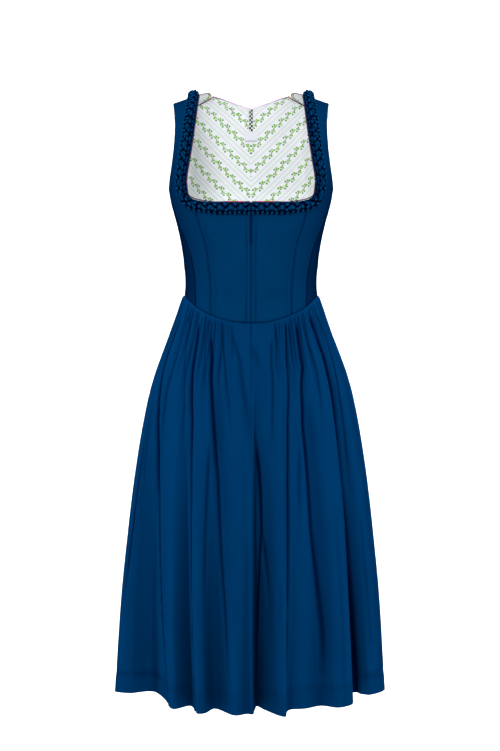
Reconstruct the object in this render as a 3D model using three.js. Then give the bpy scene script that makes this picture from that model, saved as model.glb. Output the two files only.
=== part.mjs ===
// A dirndl dress as it is worn, with nobody in it: a fitted bodice cut in panels with a white lining, a plaited
// trim round a square neckline, and a gathered skirt whose folds hang free.
//
// Millimetres, +Z up. The front faces -Y and the wearer's left is +X. The origin lies between the two shoulder
// straps, midway between front and back, at the height where the straps rest on the shoulders.
//
// Every point of the cloth is worked out from a chart place (turn, reach). Turn is the angle in degrees round the
// body: 0 centre front, 90 the left side, 180 centre back. Reach is the height up to the underarm, and above the
// underarm it goes on as an arch that runs over the shoulder and down the other side.

import * as THREE from "three";

// ---------------------------------------------------------------- driving dimensions

const WALL = { bodice: 1.3, lining: 1.0, skirt: 1.5, label: 0.8, loop: 1.2 };
const GAP = { seam: 0.3, layer: 0.3, waist: 0.5, trim: 0.5 };

const UNDERARM = -160; // height at which the body becomes shoulder straps
const SHOULDER = { tipHeight: -11, tipAcross: 139, slope: 0.34, ridge: 6, arch: 1.8 };
const REACH_PER_DEGREE = 2.6; // millimetres of reach for each degree of the arch over the shoulder

const WAIST = { side: -354, frontDip: 51, backDip: 4 };
const HEM = { height: -1055 };
const ZIP_BAND = 8.8; // half the width of the zip's two topstitched bands

// the bodice: half width, depth to the front and to the back of the side line, and squareness of the ring
const TORSO = [
  { height: -420, halfWidth: 134, front: 105, back: 95, square: 2.2 },
  { height: -390, halfWidth: 127, front: 101, back: 91, square: 2.25 },
  { height: -356, halfWidth: 118.5, front: 99, back: 86, square: 2.3 },
  { height: -326, halfWidth: 117, front: 103, back: 86, square: 2.35 },
  { height: -299, halfWidth: 119.5, front: 110, back: 89, square: 2.45 },
  { height: -267, halfWidth: 123.5, front: 119, back: 94, square: 2.5 },
  { height: -231, halfWidth: 131, front: 126, back: 100, square: 2.6 },
  { height: -190, halfWidth: 142, front: 125, back: 108, square: 2.7 },
  { height: -160, halfWidth: 147, front: 122, back: 112, square: 2.7 },
];

// front seams, from the waist up: distance from the centre line at each height
const INNER_SEAM = [
  { across: 69.5, height: -387 },
  { across: 70, height: -347 },
  { across: 72, height: -318 },
  { across: 75.5, height: -287 },
  { across: 80.5, height: -262 },
  { across: 87, height: -243 },
  { across: 93, height: -222 },
  { across: 99, height: -194 },
];
const OUTER_SEAM = [
  { across: 96, height: -373 },
  { across: 97, height: -345 },
  { across: 99.5, height: -312 },
  { across: 104.5, height: -287 },
  { across: 111.5, height: -265 },
  { across: 121, height: -242 },
  { across: 132, height: -213 },
  { across: 144.5, height: -163 },
];
const BACK_SEAM = [
  { turn: 142, reach: -357 },
  { turn: 141, reach: -300 },
  { turn: 134, reach: -240 },
  { turn: 124, reach: -195 },
  { turn: 112, reach: -166 },
];

// the square neckline, from the centre front to the seam at its corner
const NECK_FRONT = [
  { across: 0, height: -199.9 },
  { across: 35, height: -199.5 },
  { across: 72, height: -198.6 },
  { across: 99, height: -194 },
];
// the neck and armhole edges of the shoulder strap, by the angle of its arch: 90 is the ridge of the shoulder
const STRAP = [
  { neckArch: -13, neck: 99, armArch: -1, arm: 144.5 },
  { neckArch: -10, neck: 107.5, armArch: 1.5, arm: 144 },
  { neckArch: -4, neck: 111, armArch: 5, arm: 143 },
  { neckArch: 4, neck: 111.3, armArch: 10, arm: 141 },
  { neckArch: 13, neck: 107.5, armArch: 17, arm: 138.5 },
  { neckArch: 24, neck: 103, armArch: 27, arm: 135.5 },
  { neckArch: 38, neck: 98.5, armArch: 40, arm: 134 },
  { neckArch: 54, neck: 95, armArch: 55, arm: 134.5 },
  { neckArch: 72, neck: 92.5, armArch: 73, arm: 137.5 },
  { neckArch: 87, neck: 91.5, armArch: 90, arm: 139 },
  { neckArch: 94, neck: 78, armArch: 105, arm: 139 },
  { neckArch: 105, neck: 71, armArch: 123, arm: 138 },
];
const BACK_STRAP = { arm: [138, 134, 132, 133, 138, 143], centreArch: 51, bow: 1.5 };

// the plaited trim: its strands cross once in every pitch, and between the crossings they puff up in the middle
const BRAID = { width: 20.2, pitch: 17, clear: 1.2, edge: 3.8, crown: 8.8 };
// how far each column of the trim's net rises and each edge steps out, at the quarters of a pitch
const BRAID_LATTICE = [
  { edgeOut: -0.9, edgeRise: -0.8, flank: -0.6, middle: 2.4 },
  { edgeOut: 0, edgeRise: 0.2, flank: -1.4, middle: 0.2 },
  { edgeOut: 1.2, edgeRise: 1.4, flank: 1.3, middle: -1.9 },
  { edgeOut: 0, edgeRise: 0.2, flank: -1.4, middle: 0.2 },
];
// where the trim runs on behind the ridge of the shoulder, to the shoulder seam
const BRAID_END = [
  { neckArch: 98, neck: 90.5 },
  { neckArch: 108, neck: 89 },
];
const PIPING = { radius: 1.1, sides: 5 };

// the skirt by distance below the waist seam: half width and depth, before folds
const SKIRT = [
  { drop: 0, halfWidth: 118.5, front: 102, back: 86, square: 2.3 },
  { drop: 36, halfWidth: 130, front: 113, back: 102, square: 2.2 },
  { drop: 70, halfWidth: 142.5, front: 123, back: 115, square: 2.1 },
  { drop: 104, halfWidth: 156, front: 132, back: 126, square: 2.1 },
  { drop: 139, halfWidth: 168.5, front: 140, back: 135, square: 2.05 },
  { drop: 180, halfWidth: 179.5, front: 147, back: 143, square: 2 },
  { drop: 221, halfWidth: 186.5, front: 153, back: 150, square: 2 },
  { drop: 274, halfWidth: 193.5, front: 160, back: 158, square: 2 },
  { drop: 335, halfWidth: 199.5, front: 166, back: 165, square: 2 },
  { drop: 399, halfWidth: 204, front: 172, back: 171, square: 2 },
  { drop: 529, halfWidth: 210.5, front: 182, back: 181, square: 2 },
  { drop: 701, halfWidth: 212, front: 190, back: 188, square: 2 },
];

// ridges and valleys of the hanging folds, round from the centre front to the left: the turn at which each leaves
// the waist, its place in plan at the hem, and the distance below the waist seam at which it begins
const FOLDS = [
  { turn: 3, x: 9, y: -147, begins: 60 }, // valley at the centre front
  { turn: 8, x: 25, y: -186, begins: 90 },
  { turn: 14, x: 49, y: -242, begins: 130 },
  { turn: 20, x: 67, y: -178, begins: 110 },
  { turn: 26, x: 91, y: -172, begins: 160 },
  { turn: 32, x: 118, y: -147, begins: 80 },
  { turn: 40, x: 150, y: -163, begins: 120 },
  { turn: 46, x: 174, y: -124, begins: 90 },
  { turn: 53, x: 173, y: -36, begins: 50 }, // the deepest valley
  { turn: 66, x: 209, y: -48, begins: 130 },
  { turn: 88, x: 238, y: 16, begins: 100 }, // left edge
  { turn: 101, x: 184, y: 60, begins: 120 },
  { turn: 112, x: 206, y: 108, begins: 100 },
  { turn: 122, x: 147, y: 107, begins: 90 },
  { turn: 133, x: 155, y: 165, begins: 140 },
  { turn: 144, x: 97, y: 147, begins: 110 },
  { turn: 155, x: 87, y: 206, begins: 130 },
  { turn: 165, x: 39, y: 173, begins: 80 },
  { turn: 176, x: 13, y: 220, begins: 150 },
  { turn: 187, x: -25, y: 171, begins: 100 },
  { turn: 197, x: -68, y: 215, begins: 120 },
  { turn: 207, x: -80, y: 158, begins: 90 },
  { turn: 217, x: -134, y: 183, begins: 130 },
  { turn: 228, x: -134, y: 122, begins: 80 },
  { turn: 239, x: -194, y: 121, begins: 120 },
  { turn: 250, x: -181, y: 66, begins: 100 },
  { turn: 269, x: -240, y: -8, begins: 100 }, // right edge
  { turn: 288, x: -213, y: -34, begins: 130 },
  { turn: 304, x: -171, y: -20, begins: 60 },
  { turn: 310, x: -148, y: -92, begins: 100 },
  { turn: 316, x: -132, y: -174, begins: 120 },
  { turn: 323, x: -102, y: -148, begins: 80 },
  { turn: 329, x: -90, y: -210, begins: 120 },
  { turn: 333, x: -77, y: -211, begins: 130 },
  { turn: 340, x: -60, y: -172, begins: 80 },
  { turn: 349, x: -28, y: -228, begins: 140 },
  { turn: 356, x: -6, y: -216, begins: 110 },
];
const FOLD_GROWTH = 1.2;

const GATHERS = { columns: 116, smoothHalf: 39, fadeOver: 16 };
const GATHER_DEPTH = [
  { drop: 0, depth: 1.1 },
  { drop: 14, depth: 2.1 },
  { drop: 45, depth: 2.2 },
  { drop: 90, depth: 1.5 },
  { drop: 140, depth: 0.7 },
  { drop: 190, depth: 0 },
];
// rows of the skirt's net, as shares of the way from the waist seam to the hem; from the last gathered row down,
// the net has twice the columns
const SKIRT_ROWS = [0, 0.016, 0.04, 0.075, 0.12, 0.17, 0.23, 0.32, 0.44, 0.6, 0.8, 1];
const GATHERED_ROWS = 7;

const LOOP = { width: 5.8, length: 37, rows: 6 };
const LABEL = { width: 29, height: 17, below: 1.5, columns: 4 };
const INSIDE_TRIM = 0.7; // gap between the lining's inner face and the loop or the label

const COLOUR = { cloth: 0x02345f, skirt: 0x033a68, lining: 0xe9e9f1, braid: 0x022c58, piping: 0x5d1f78,
  ribbon: 0x15171a, label: 0xdfe3ea, zip: 0x0a1626 };

// ---------------------------------------------------------------- tables and curves

const radians = (degrees) => (degrees * Math.PI) / 180;
const mix = (a, b, share) => a + (b - a) * share;
const clamp = (value, low, high) => Math.min(Math.max(value, low), high);

// value of a column of a table at a place along another column, on a smooth curve through the rows
function read(table, by, column, at) {
  const rising = table[0][by] < table[table.length - 1][by];
  const rows = rising ? table : [...table].reverse();
  const last = rows.length - 1;
  if (at <= rows[0][by]) return rows[0][column];
  if (at >= rows[last][by]) return rows[last][column];
  let i = 0;
  while (rows[i + 1][by] < at) i += 1;
  const slope = (k) => {
    const low = rows[Math.max(k - 1, 0)];
    const high = rows[Math.min(k + 1, last)];
    return (high[column] - low[column]) / (high[by] - low[by]);
  };
  const span = rows[i + 1][by] - rows[i][by];
  const t = (at - rows[i][by]) / span;
  const t2 = t * t;
  const t3 = t2 * t;
  return (2 * t3 - 3 * t2 + 1) * rows[i][column] + (t3 - 2 * t2 + t) * span * slope(i)
    + (3 * t2 - 2 * t3) * rows[i + 1][column] + (t3 - t2) * span * slope(i + 1);
}

// the same for the closed round of folds
const FOLDS_ROUND = [
  ...FOLDS.slice(-2).map((row) => ({ ...row, turn: row.turn - 360 })),
  ...FOLDS,
  ...FOLDS.slice(0, 2).map((row) => ({ ...row, turn: row.turn + 360 })),
];

// a place on a superellipse ring, from its half width, depths and squareness
function ringPlace(turn, halfWidth, front, back, square) {
  const across = Math.sin(radians(turn));
  const along = Math.cos(radians(turn));
  const depth = along > 0 ? -front : back;
  return [
    Math.sign(across) * halfWidth * Math.abs(across) ** (2 / square),
    depth * Math.abs(along) ** (2 / square),
  ];
}

// ---------------------------------------------------------------- the body's surface

const ridgeHeight = (across) => SHOULDER.tipHeight + (SHOULDER.tipAcross - Math.abs(across)) * SHOULDER.slope;

function torso([turn, reach]) {
  const level = Math.min(reach, UNDERARM);
  const size = (column) => read(TORSO, "height", column, level);
  const ring = (at) => ringPlace(at, size("halfWidth"), size("front"), size("back"), size("square"));
  const [x, y] = ring(turn);
  if (reach <= UNDERARM) return new THREE.Vector3(x, y, reach);
  const arch = radians((reach - UNDERARM) / REACH_PER_DEGREE);
  const power = 2 / SHOULDER.arch;
  const rise = Math.abs(Math.sin(arch)) ** power;
  const lean = Math.abs(Math.cos(arch)) ** power;
  const foot = arch <= Math.PI / 2 ? y : ring(180 - turn)[1];
  return new THREE.Vector3(
    x,
    SHOULDER.ridge + (foot - SHOULDER.ridge) * lean,
    UNDERARM + (ridgeHeight(x) - UNDERARM) * rise,
  );
}

// outward normal of the body's surface, from two short steps each way
function torsoNormal([turn, reach]) {
  const side = torso([turn + 0.4, reach]).sub(torso([turn - 0.4, reach]));
  const up = torso([turn, reach + 0.8]).sub(torso([turn, reach - 0.8]));
  return side.cross(up).normalize();
}

// the turn at which the ring of a height lies a distance across, on the front or the back
function turnAt(across, height, onBack = false) {
  const level = Math.min(height, UNDERARM);
  const share = clamp(across / read(TORSO, "height", "halfWidth", level), 0, 1);
  const turn = (Math.asin(share ** (read(TORSO, "height", "square", level) / 2)) * 180) / Math.PI;
  return onBack ? 180 - turn : turn;
}

const archReach = (arch) => UNDERARM + arch * REACH_PER_DEGREE;

function waistline(turn) {
  const along = Math.cos(radians(turn));
  return WAIST.side - (along > 0 ? WAIST.frontDip : WAIST.backDip) * along * along;
}

// ---------------------------------------------------------------- nets: chart places joined by faces

// a smooth run of chart places through a few given ones, at even steps of their order
function run(places, count) {
  const curve = new THREE.CatmullRomCurve3(
    places.map(([turn, reach]) => new THREE.Vector3(turn * 2, reach, 0)), false, "centripetal");
  const spaced = curve.getSpacedPoints(count);
  return spaced.map((point) => [point.x / 2, point.y]);
}

// fills the patch inside four edges that share their corners (a Coons patch)
function patch(bottom, top, left, right) {
  const columns = bottom.length - 1;
  const rows = left.length - 1;
  const share = (line, i, axis) => {
    const span = line[line.length - 1][axis] - line[0][axis];
    return (line[i][axis] - line[0][axis]) / span;
  };
  const grid = [];
  for (let j = 0; j <= rows; j += 1) {
    const v = (share(left, j, 1) + share(right, j, 1)) / 2;
    const line = [];
    for (let i = 0; i <= columns; i += 1) {
      const u = share(bottom, i, 0);
      line.push([0, 1].map((axis) => mix(bottom[i][axis], top[i][axis], v) + mix(left[j][axis], right[j][axis], u)
        - mix(mix(bottom[0][axis], bottom[columns][axis], u), mix(top[0][axis], top[columns][axis], u), v)));
    }
    grid.push(line);
  }
  grid[0] = bottom;
  grid[rows] = top;
  grid.forEach((line, j) => {
    line[0] = left[j];
    line[columns] = right[j];
  });
  return grid;
}

// joins grids into one net, merging the places that they share
function net(...grids) {
  const places = [];
  const faces = [];
  const known = new Map();
  const index = (place) => {
    const key = place.map((value) => value.toFixed(3)).join(" ");
    if (!known.has(key)) {
      known.set(key, places.length);
      places.push(place);
    }
    return known.get(key);
  };
  for (const grid of grids) {
    for (let j = 0; j + 1 < grid.length; j += 1) {
      for (let i = 0; i + 1 < grid[j].length; i += 1) {
        faces.push([grid[j][i], grid[j][i + 1], grid[j + 1][i + 1], grid[j + 1][i]].map(index));
      }
    }
  }
  return { places, faces };
}

// edges that belong to one face only, in the direction of that face
function rimOf(faces) {
  const seen = new Map();
  for (const face of faces) {
    face.forEach((a, k) => {
      const b = face[(k + 1) % face.length];
      const key = a < b ? `${a} ${b}` : `${b} ${a}`;
      if (seen.has(key)) seen.set(key, null);
      else seen.set(key, [a, b]);
    });
  }
  return [...seen.values()].filter((edge) => edge !== null);
}

// moves the rim of a sheet inwards along its face, so that neighbouring pieces stay apart
function inset(points, normals, rim, distance) {
  const shift = points.map(() => []);
  for (const [a, b] of rim) {
    const inward = new THREE.Vector3().addVectors(normals[a], normals[b])
      .cross(new THREE.Vector3().subVectors(points[b], points[a])).normalize();
    shift[a].push(inward);
    shift[b].push(inward);
  }
  return points.map((point, i) => {
    if (shift[i].length === 0) return point;
    const mean = shift[i].reduce((sum, step) => sum.add(step), new THREE.Vector3()).normalize();
    const squeeze = Math.max(mean.dot(shift[i][0]), 0.5);
    return point.clone().addScaledVector(mean, distance / squeeze);
  });
}

// a closed wall between two sheets of points over the same faces, with a rim round its open edges
function wall(outer, inner, faces) {
  const count = outer.length;
  const triangles = [];
  for (const face of faces) {
    for (let k = 1; k + 1 < face.length; k += 1) {
      triangles.push(face[0], face[k], face[k + 1]);
      triangles.push(face[0] + count, face[k + 1] + count, face[k] + count);
    }
  }
  for (const [a, b] of rimOf(faces)) {
    triangles.push(a, a + count, b);
    triangles.push(b, a + count, b + count);
  }
  return solid([...outer, ...inner], triangles);
}

function solid(points, triangles) {
  const geometry = new THREE.BufferGeometry();
  geometry.setAttribute("position", new THREE.Float32BufferAttribute(points.flatMap((p) => p.toArray()), 3));
  geometry.setIndex(triangles);
  geometry.computeVertexNormals();
  return geometry;
}

// a piece of cloth on the body: its outer face lies `depth` under the body's surface
function bodyCloth(sheet, depth, thickness) {
  const points = sheet.places.map(torso);
  const normals = sheet.places.map(torsoNormal);
  const edged = inset(points, normals, rimOf(sheet.faces), GAP.seam * 0.6);
  const layer = (under) => edged.map((point, i) => point.clone().addScaledVector(normals[i], -under));
  return wall(layer(depth), layer(depth + thickness), sheet.faces);
}

// the same piece for the other side of the dress
function mirrored(geometry) {
  const other = geometry.clone();
  const position = other.getAttribute("position");
  for (let i = 0; i < position.count; i += 1) position.setX(i, -position.getX(i));
  const index = other.getIndex();
  for (let i = 0; i < index.count; i += 3) {
    const second = index.getX(i + 1);
    index.setX(i + 1, index.getX(i + 2));
    index.setX(i + 2, second);
  }
  other.computeVertexNormals();
  return other;
}

// ---------------------------------------------------------------- the bodice's cut

const BODICE_ROWS = 7;
const STRAP_COLUMNS = 3;

const seamPlaces = (seam) => seam.map(({ across, height }, i) => {
  const turn = turnAt(across, height);
  return [turn, i === 0 ? waistline(turn) : height];
});
const innerSeam = run(seamPlaces(INNER_SEAM), BODICE_ROWS);
const outerSeam = run(seamPlaces(OUTER_SEAM), BODICE_ROWS);
const backSeam = run(BACK_SEAM.map(({ turn, reach }, i) => [turn, i === 0 ? waistline(turn) : reach]), BODICE_ROWS);
const bandLine = [];
const centreLine = [];
for (let j = 0; j <= BODICE_ROWS; j += 1) {
  const share = j / BODICE_ROWS;
  const height = mix(waistline(0), NECK_FRONT[0].height, share);
  centreLine.push([0, height]);
  bandLine.push([turnAt(ZIP_BAND, height), height]);
}

// a run along the waist seam between two turns
function waistRun(from, to, count) {
  return Array.from({ length: count + 1 }, (_, i) => {
    const turn = mix(from, to, i / count);
    return [turn, waistline(turn)];
  });
}

const last = (line) => line[line.length - 1];
const strapPlace = (edge) => (row) => {
  const reach = archReach(row[`${edge}Arch`]);
  return [turnAt(row[edge], reach), reach];
};
// the strap's edges keep the rows of the table
const strapNeck = [last(innerSeam), ...STRAP.slice(1).map(strapPlace("neck"))];
const strapArm = [last(outerSeam), ...STRAP.slice(1).map(strapPlace("arm"))];
const shoulderSeam = last(STRAP);

const neckLine = run(NECK_FRONT.map(({ across, height }) => [turnAt(across, height), height]), 3);
neckLine[0] = last(centreLine);
neckLine[3] = last(innerSeam);

const straight = (from, to, count) => Array.from({ length: count + 1 }, (_, i) => [
  mix(from[0], to[0], i / count), mix(from[1], to[1], i / count)]);

const bandTop = run(neckLine, 12)[1];
bandTop[0] = turnAt(ZIP_BAND, last(centreLine)[1]);
bandLine[BODICE_ROWS] = bandTop;
const bandBottom = bandLine[0];
bandBottom[1] = waistline(bandBottom[0]);

const zipBandGrid = patch([centreLine[0], bandBottom], [last(centreLine), bandTop], centreLine, bandLine);
const frontGrid = patch(
  waistRun(bandBottom[0], innerSeam[0][0], 3),
  run([bandTop, neckLine[1], neckLine[2], neckLine[3]], 3),
  bandLine, innerSeam);
const yokeLine = straight(last(innerSeam), last(outerSeam), STRAP_COLUMNS);
const frontSideGrid = patch(
  waistRun(innerSeam[0][0], outerSeam[0][0], STRAP_COLUMNS), yokeLine, innerSeam, outerSeam);
const shoulderLine = straight(last(strapNeck), last(strapArm), STRAP_COLUMNS);
const strapGrid = patchByRows(yokeLine, shoulderLine, strapNeck, strapArm);
const armholeFloor = run([last(outerSeam), [90, -166], [101, -167], last(backSeam)], 6);
const sideGrid = patch(waistRun(outerSeam[0][0], backSeam[0][0], 6), armholeFloor, outerSeam, backSeam);

// fills between two edges row by row, where both edges keep their own heights
function patchByRows(bottom, top, left, right) {
  const rows = left.length - 1;
  const columns = bottom.length - 1;
  return left.map((start, j) => {
    if (j === 0) return bottom;
    if (j === rows) return top;
    return straight(start, right[j], columns);
  });
}

// the back: the same arch counted from the back's own underarm, 90 the ridge
const backArch = (arch) => archReach(180 - arch);
const backTurn = (across) => turnAt(across, UNDERARM, true);
const BACK_COLUMNS = 6;
function backNeckPlace(across) {
  const share = across / shoulderSeam.neck;
  const reach = mix(archReach(BACK_STRAP.centreArch), backArch(shoulderSeam.neckArch), share);
  return [backTurn(across), reach - BACK_STRAP.bow * Math.sin(Math.PI * share)];
}
const backTopNeck = [0, 1, 2, 3].map((i) => backNeckPlace((shoulderSeam.neck * i) / 3));
const backTopSeam = shoulderLine.map(([turn, reach]) => [180 - turn, 2 * archReach(90) - reach]);
const backTop = [...backTopSeam].reverse().concat([...backTopNeck].reverse().slice(1));
const UPPER_ROWS = BACK_STRAP.arm.length;
const backArm = [last(backSeam)];
[...BACK_STRAP.arm].reverse().forEach((across, i) => {
  const share = (i + 1) / UPPER_ROWS;
  backArm.push([backTurn(across), mix(last(backSeam)[1], backArch(shoulderSeam.armArch), share)]);
});
backArm[UPPER_ROWS] = backTop[0];
const centreBack = (from, to, count) => straight([180, from], [180, to], count);
const yokeBack = straight(last(backSeam), [180, last(backSeam)[1]], BACK_COLUMNS);
const backLowerGrid = patch(
  waistRun(backSeam[0][0], 180, BACK_COLUMNS), yokeBack,
  backSeam, centreBack(waistline(180), last(backSeam)[1], BODICE_ROWS));
const backUpperGrid = patch(
  yokeBack, backTop, backArm, centreBack(last(backSeam)[1], last(backTop)[1], UPPER_ROWS));

const CUT = {
  front_centre: net(zipBandGrid, frontGrid),
  front_side: net(frontSideGrid, strapGrid),
  side: net(sideGrid),
  back: net(backLowerGrid, backUpperGrid),
};
const LINING_CUT = {
  lining_front: net(frontGrid, frontSideGrid, strapGrid),
  lining_side: net(sideGrid),
  lining_back: net(backLowerGrid, backUpperGrid),
};
const LINING_DEPTH = WALL.bodice + GAP.layer;
const INSIDE = LINING_DEPTH + WALL.lining;

// ---------------------------------------------------------------- trims on the bodice

// evenly spaced chart places on a smooth line over the body
function spacedPlaces(places, step) {
  const over = new THREE.CatmullRomCurve3(places.map(torso), false, "centripetal");
  const chart = new THREE.CatmullRomCurve3(
    places.map(([turn, reach]) => new THREE.Vector3(turn * 2, reach, 0)), false, "centripetal");
  const count = Math.round(over.getLength() / step);
  return Array.from({ length: count + 1 }, (_, i) => {
    const point = chart.getPoint(over.getUtoTmapping(i / count));
    return [point.x / 2, point.y];
  });
}

// the chart place a distance to the right of a line of places, seen along it from outside the body
function besideLine(places, i, distance) {
  const place = places[i];
  const ahead = torso(places[Math.min(i + 1, places.length - 1)]).sub(torso(places[Math.max(i - 1, 0)]));
  const away = new THREE.Vector3().crossVectors(ahead.normalize(), torsoNormal(place)).normalize();
  const sideStep = torso([place[0] + 0.5, place[1]]).sub(torso([place[0] - 0.5, place[1]]));
  const upStep = torso([place[0], place[1] + 0.5]).sub(torso([place[0], place[1] - 0.5]));
  return [
    place[0] + (away.dot(sideStep) / sideStep.lengthSq()) * distance,
    place[1] + (away.dot(upStep) / upStep.lengthSq()) * distance,
  ];
}

const above = (place, height) => torso(place).addScaledVector(torsoNormal(place), height);

// the plaited trim of one side: a band with a plain underside, whose top is raised in a lattice of crossings
function braid() {
  const edge = [...neckLine.slice(0, 3), ...[...STRAP.slice(1, 10), ...BRAID_END].map(strapPlace("neck"))];
  edge[0] = [turnAt(0.4, edge[0][1]), edge[0][1]];
  const places = spacedPlaces(edge, BRAID.pitch / BRAID_LATTICE.length);
  const columns = [0, 0.25, 0.5, 0.75, 1];
  const top = [];
  const under = [];
  places.forEach((_, i) => {
    const lattice = BRAID_LATTICE[i % BRAID_LATTICE.length];
    const out = [-lattice.edgeOut, 0, 0, 0, lattice.edgeOut];
    const height = [
      BRAID.edge + lattice.edgeRise, BRAID.crown - 1 + lattice.flank, BRAID.crown + lattice.middle,
      BRAID.crown - 1 + lattice.flank, BRAID.edge + lattice.edgeRise];
    columns.forEach((share, k) => {
      const place = besideLine(places, i, BRAID.clear + share * BRAID.width + out[k]);
      top.push(above(place, height[k]));
      if (k % 2 === 0) under.push(above(place, GAP.trim));
    });
  });
  return band(top, columns.length, under, 3);
}

// a closed band from rows of top points and rows of underside points
function band(top, topWidth, under, underWidth) {
  const rows = top.length / topWidth;
  const base = top.length;
  const triangles = [];
  const quad = (a, b, c, d) => triangles.push(a, c, b, a, d, c);
  for (let i = 0; i + 1 < rows; i += 1) {
    for (let k = 0; k + 1 < topWidth; k += 1) {
      const a = i * topWidth + k;
      quad(a, a + topWidth, a + topWidth + 1, a + 1);
    }
    for (let k = 0; k + 1 < underWidth; k += 1) {
      const a = base + i * underWidth + k;
      quad(a, a + 1, a + underWidth + 1, a + underWidth);
    }
    const first = i * topWidth;
    const low = base + i * underWidth;
    quad(first, low, low + underWidth, first + topWidth);
    const end = first + topWidth - 1;
    const lowEnd = low + underWidth - 1;
    quad(end, end + topWidth, lowEnd + underWidth, lowEnd);
  }
  const cap = (topRow, underRow, flip) => {
    const loop = [];
    for (let k = 0; k < topWidth; k += 1) loop.push(topRow + k);
    for (let k = underWidth - 1; k >= 0; k -= 1) loop.push(underRow + k);
    const middle = top.length + under.length + (flip ? 1 : 0);
    loop.forEach((a, k) => {
      const b = loop[(k + 1) % loop.length];
      if (flip) triangles.push(middle, a, b);
      else triangles.push(middle, b, a);
    });
  };
  cap(0, base, false);
  cap((rows - 1) * topWidth, base + (rows - 1) * underWidth, true);
  const centre = (points) => points.reduce((sum, p) => sum.add(p), new THREE.Vector3()).divideScalar(points.length);
  const ends = [
    centre([...top.slice(0, topWidth), ...under.slice(0, underWidth)]),
    centre([...top.slice(-topWidth), ...under.slice(-underWidth)]),
  ];
  return solid([...top, ...under, ...ends], triangles);
}

// a thin cord that runs beside a line of chart places at a height over the body, with a ring at each place
function cord(places, beside, height) {
  const { radius, sides } = PIPING;
  const points = [];
  const triangles = [];
  places.forEach((_, i) => {
    const place = besideLine(places, i, beside);
    const centre = above(place, height);
    const normal = torsoNormal(place);
    const next = torso(places[Math.min(i + 1, places.length - 1)]);
    const away = next.sub(torso(places[Math.max(i - 1, 0)])).cross(normal).normalize();
    for (let k = 0; k < sides; k += 1) {
      const angle = (2 * Math.PI * k) / sides;
      points.push(centre.clone().addScaledVector(normal, radius * Math.cos(angle))
        .addScaledVector(away, radius * Math.sin(angle)));
    }
  });
  for (let i = 0; i + 1 < places.length; i += 1) {
    for (let k = 0; k < sides; k += 1) {
      const [a, b] = [i * sides + k, i * sides + ((k + 1) % sides)];
      triangles.push(a, b, a + sides, b, b + sides, a + sides);
    }
  }
  const end = points.length - sides;
  for (let k = 1; k + 1 < sides; k += 1) triangles.push(0, k + 1, k, end, end + k, end + k + 1);
  return solid(points, triangles);
}

// piping in an open edge of bodice and lining, just beyond the cloth; the opening lies to the left of the line
const edgePiping = (places) => cord(places, -(PIPING.radius + GAP.trim), -INSIDE / 2);

// piping along the shoulder seam of the lining, from the neck to under the trim
const shoulderPiping = () => cord(
  straight(shoulderLine[0], shoulderLine[2], 4), 0, -(INSIDE + INSIDE_TRIM + PIPING.radius));

// a strip of cloth that hangs inside the centre back, between two reaches
function centreBackStrip(width, top, bottom, columns, rows, thickness) {
  const half = width / 2;
  const grid = Array.from({ length: rows + 1 }, (_, j) => Array.from({ length: columns + 1 }, (_, i) => {
    const across = mix(half, -half, i / columns);
    const turn = across >= 0 ? backTurn(across) : 360 - backTurn(-across);
    return [turn, mix(bottom, top, j / rows)];
  }));
  return bodyCloth(net(grid), INSIDE + INSIDE_TRIM, thickness);
}

// ---------------------------------------------------------------- the skirt

function skirtPlace(turn, drop) {
  const size = (column) => read(SKIRT, "drop", column, drop);
  return ringPlace(turn, size("halfWidth"), size("front"), size("back"), size("square"));
}

// turns of the skirt's columns, at even steps of the waist seam's length
function skirtTurns(count) {
  const fine = 720;
  const length = [0];
  let before = torso([0, waistline(0)]);
  for (let i = 1; i <= fine; i += 1) {
    const turn = (360 * i) / fine;
    const here = torso([turn, waistline(turn)]);
    length.push(length[i - 1] + here.distanceTo(before));
    before = here;
  }
  const turns = [];
  let i = 0;
  for (let k = 0; k < count; k += 1) {
    const goal = (length[fine] * k) / count;
    while (length[i + 1] < goal) i += 1;
    turns.push((360 / fine) * (i + (goal - length[i]) / (length[i + 1] - length[i])));
  }
  return turns;
}

// a point of the skirt's outer face: the flaring ring, the hanging folds and the gathers, whose ridges have a
// crest of 1 and whose troughs have -1
function skirtPoint(turn, share, crest) {
  const top = waistline(turn) - GAP.waist;
  const full = top - HEM.height;
  const drop = share * full;
  const hemShape = skirtPlace(turn, full);
  const [x, y] = skirtPlace(turn, drop);
  const seam = torso([turn, waistline(turn)]);
  const start = skirtPlace(turn, 0);
  const settle = Math.max(0, 1 - drop / 150) ** 2;
  const begins = read(FOLDS_ROUND, "turn", "begins", turn);
  const growth = clamp((drop - begins) / (full - begins), 0, 1) ** FOLD_GROWTH;
  const relief = ["x", "y"].map((axis, k) => read(FOLDS_ROUND, "turn", axis, turn) - hemShape[k]);
  const smooth = clamp((Math.abs(seam.x) - GATHERS.smoothHalf) / GATHERS.fadeOver, 0, 1);
  const gathered = seam.y < 0 ? smooth : 1;
  const depth = drop < 190 ? read(GATHER_DEPTH, "drop", "depth", drop) * gathered : 0;
  const out = new THREE.Vector2(x / 1.2, y).normalize().multiplyScalar(depth * (1 + crest));
  return new THREE.Vector3(
    x + (seam.x - start[0]) * settle + relief[0] * growth + out.x,
    y + (seam.y - start[1]) * settle + relief[1] * growth + out.y,
    top - drop,
  );
}

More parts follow.
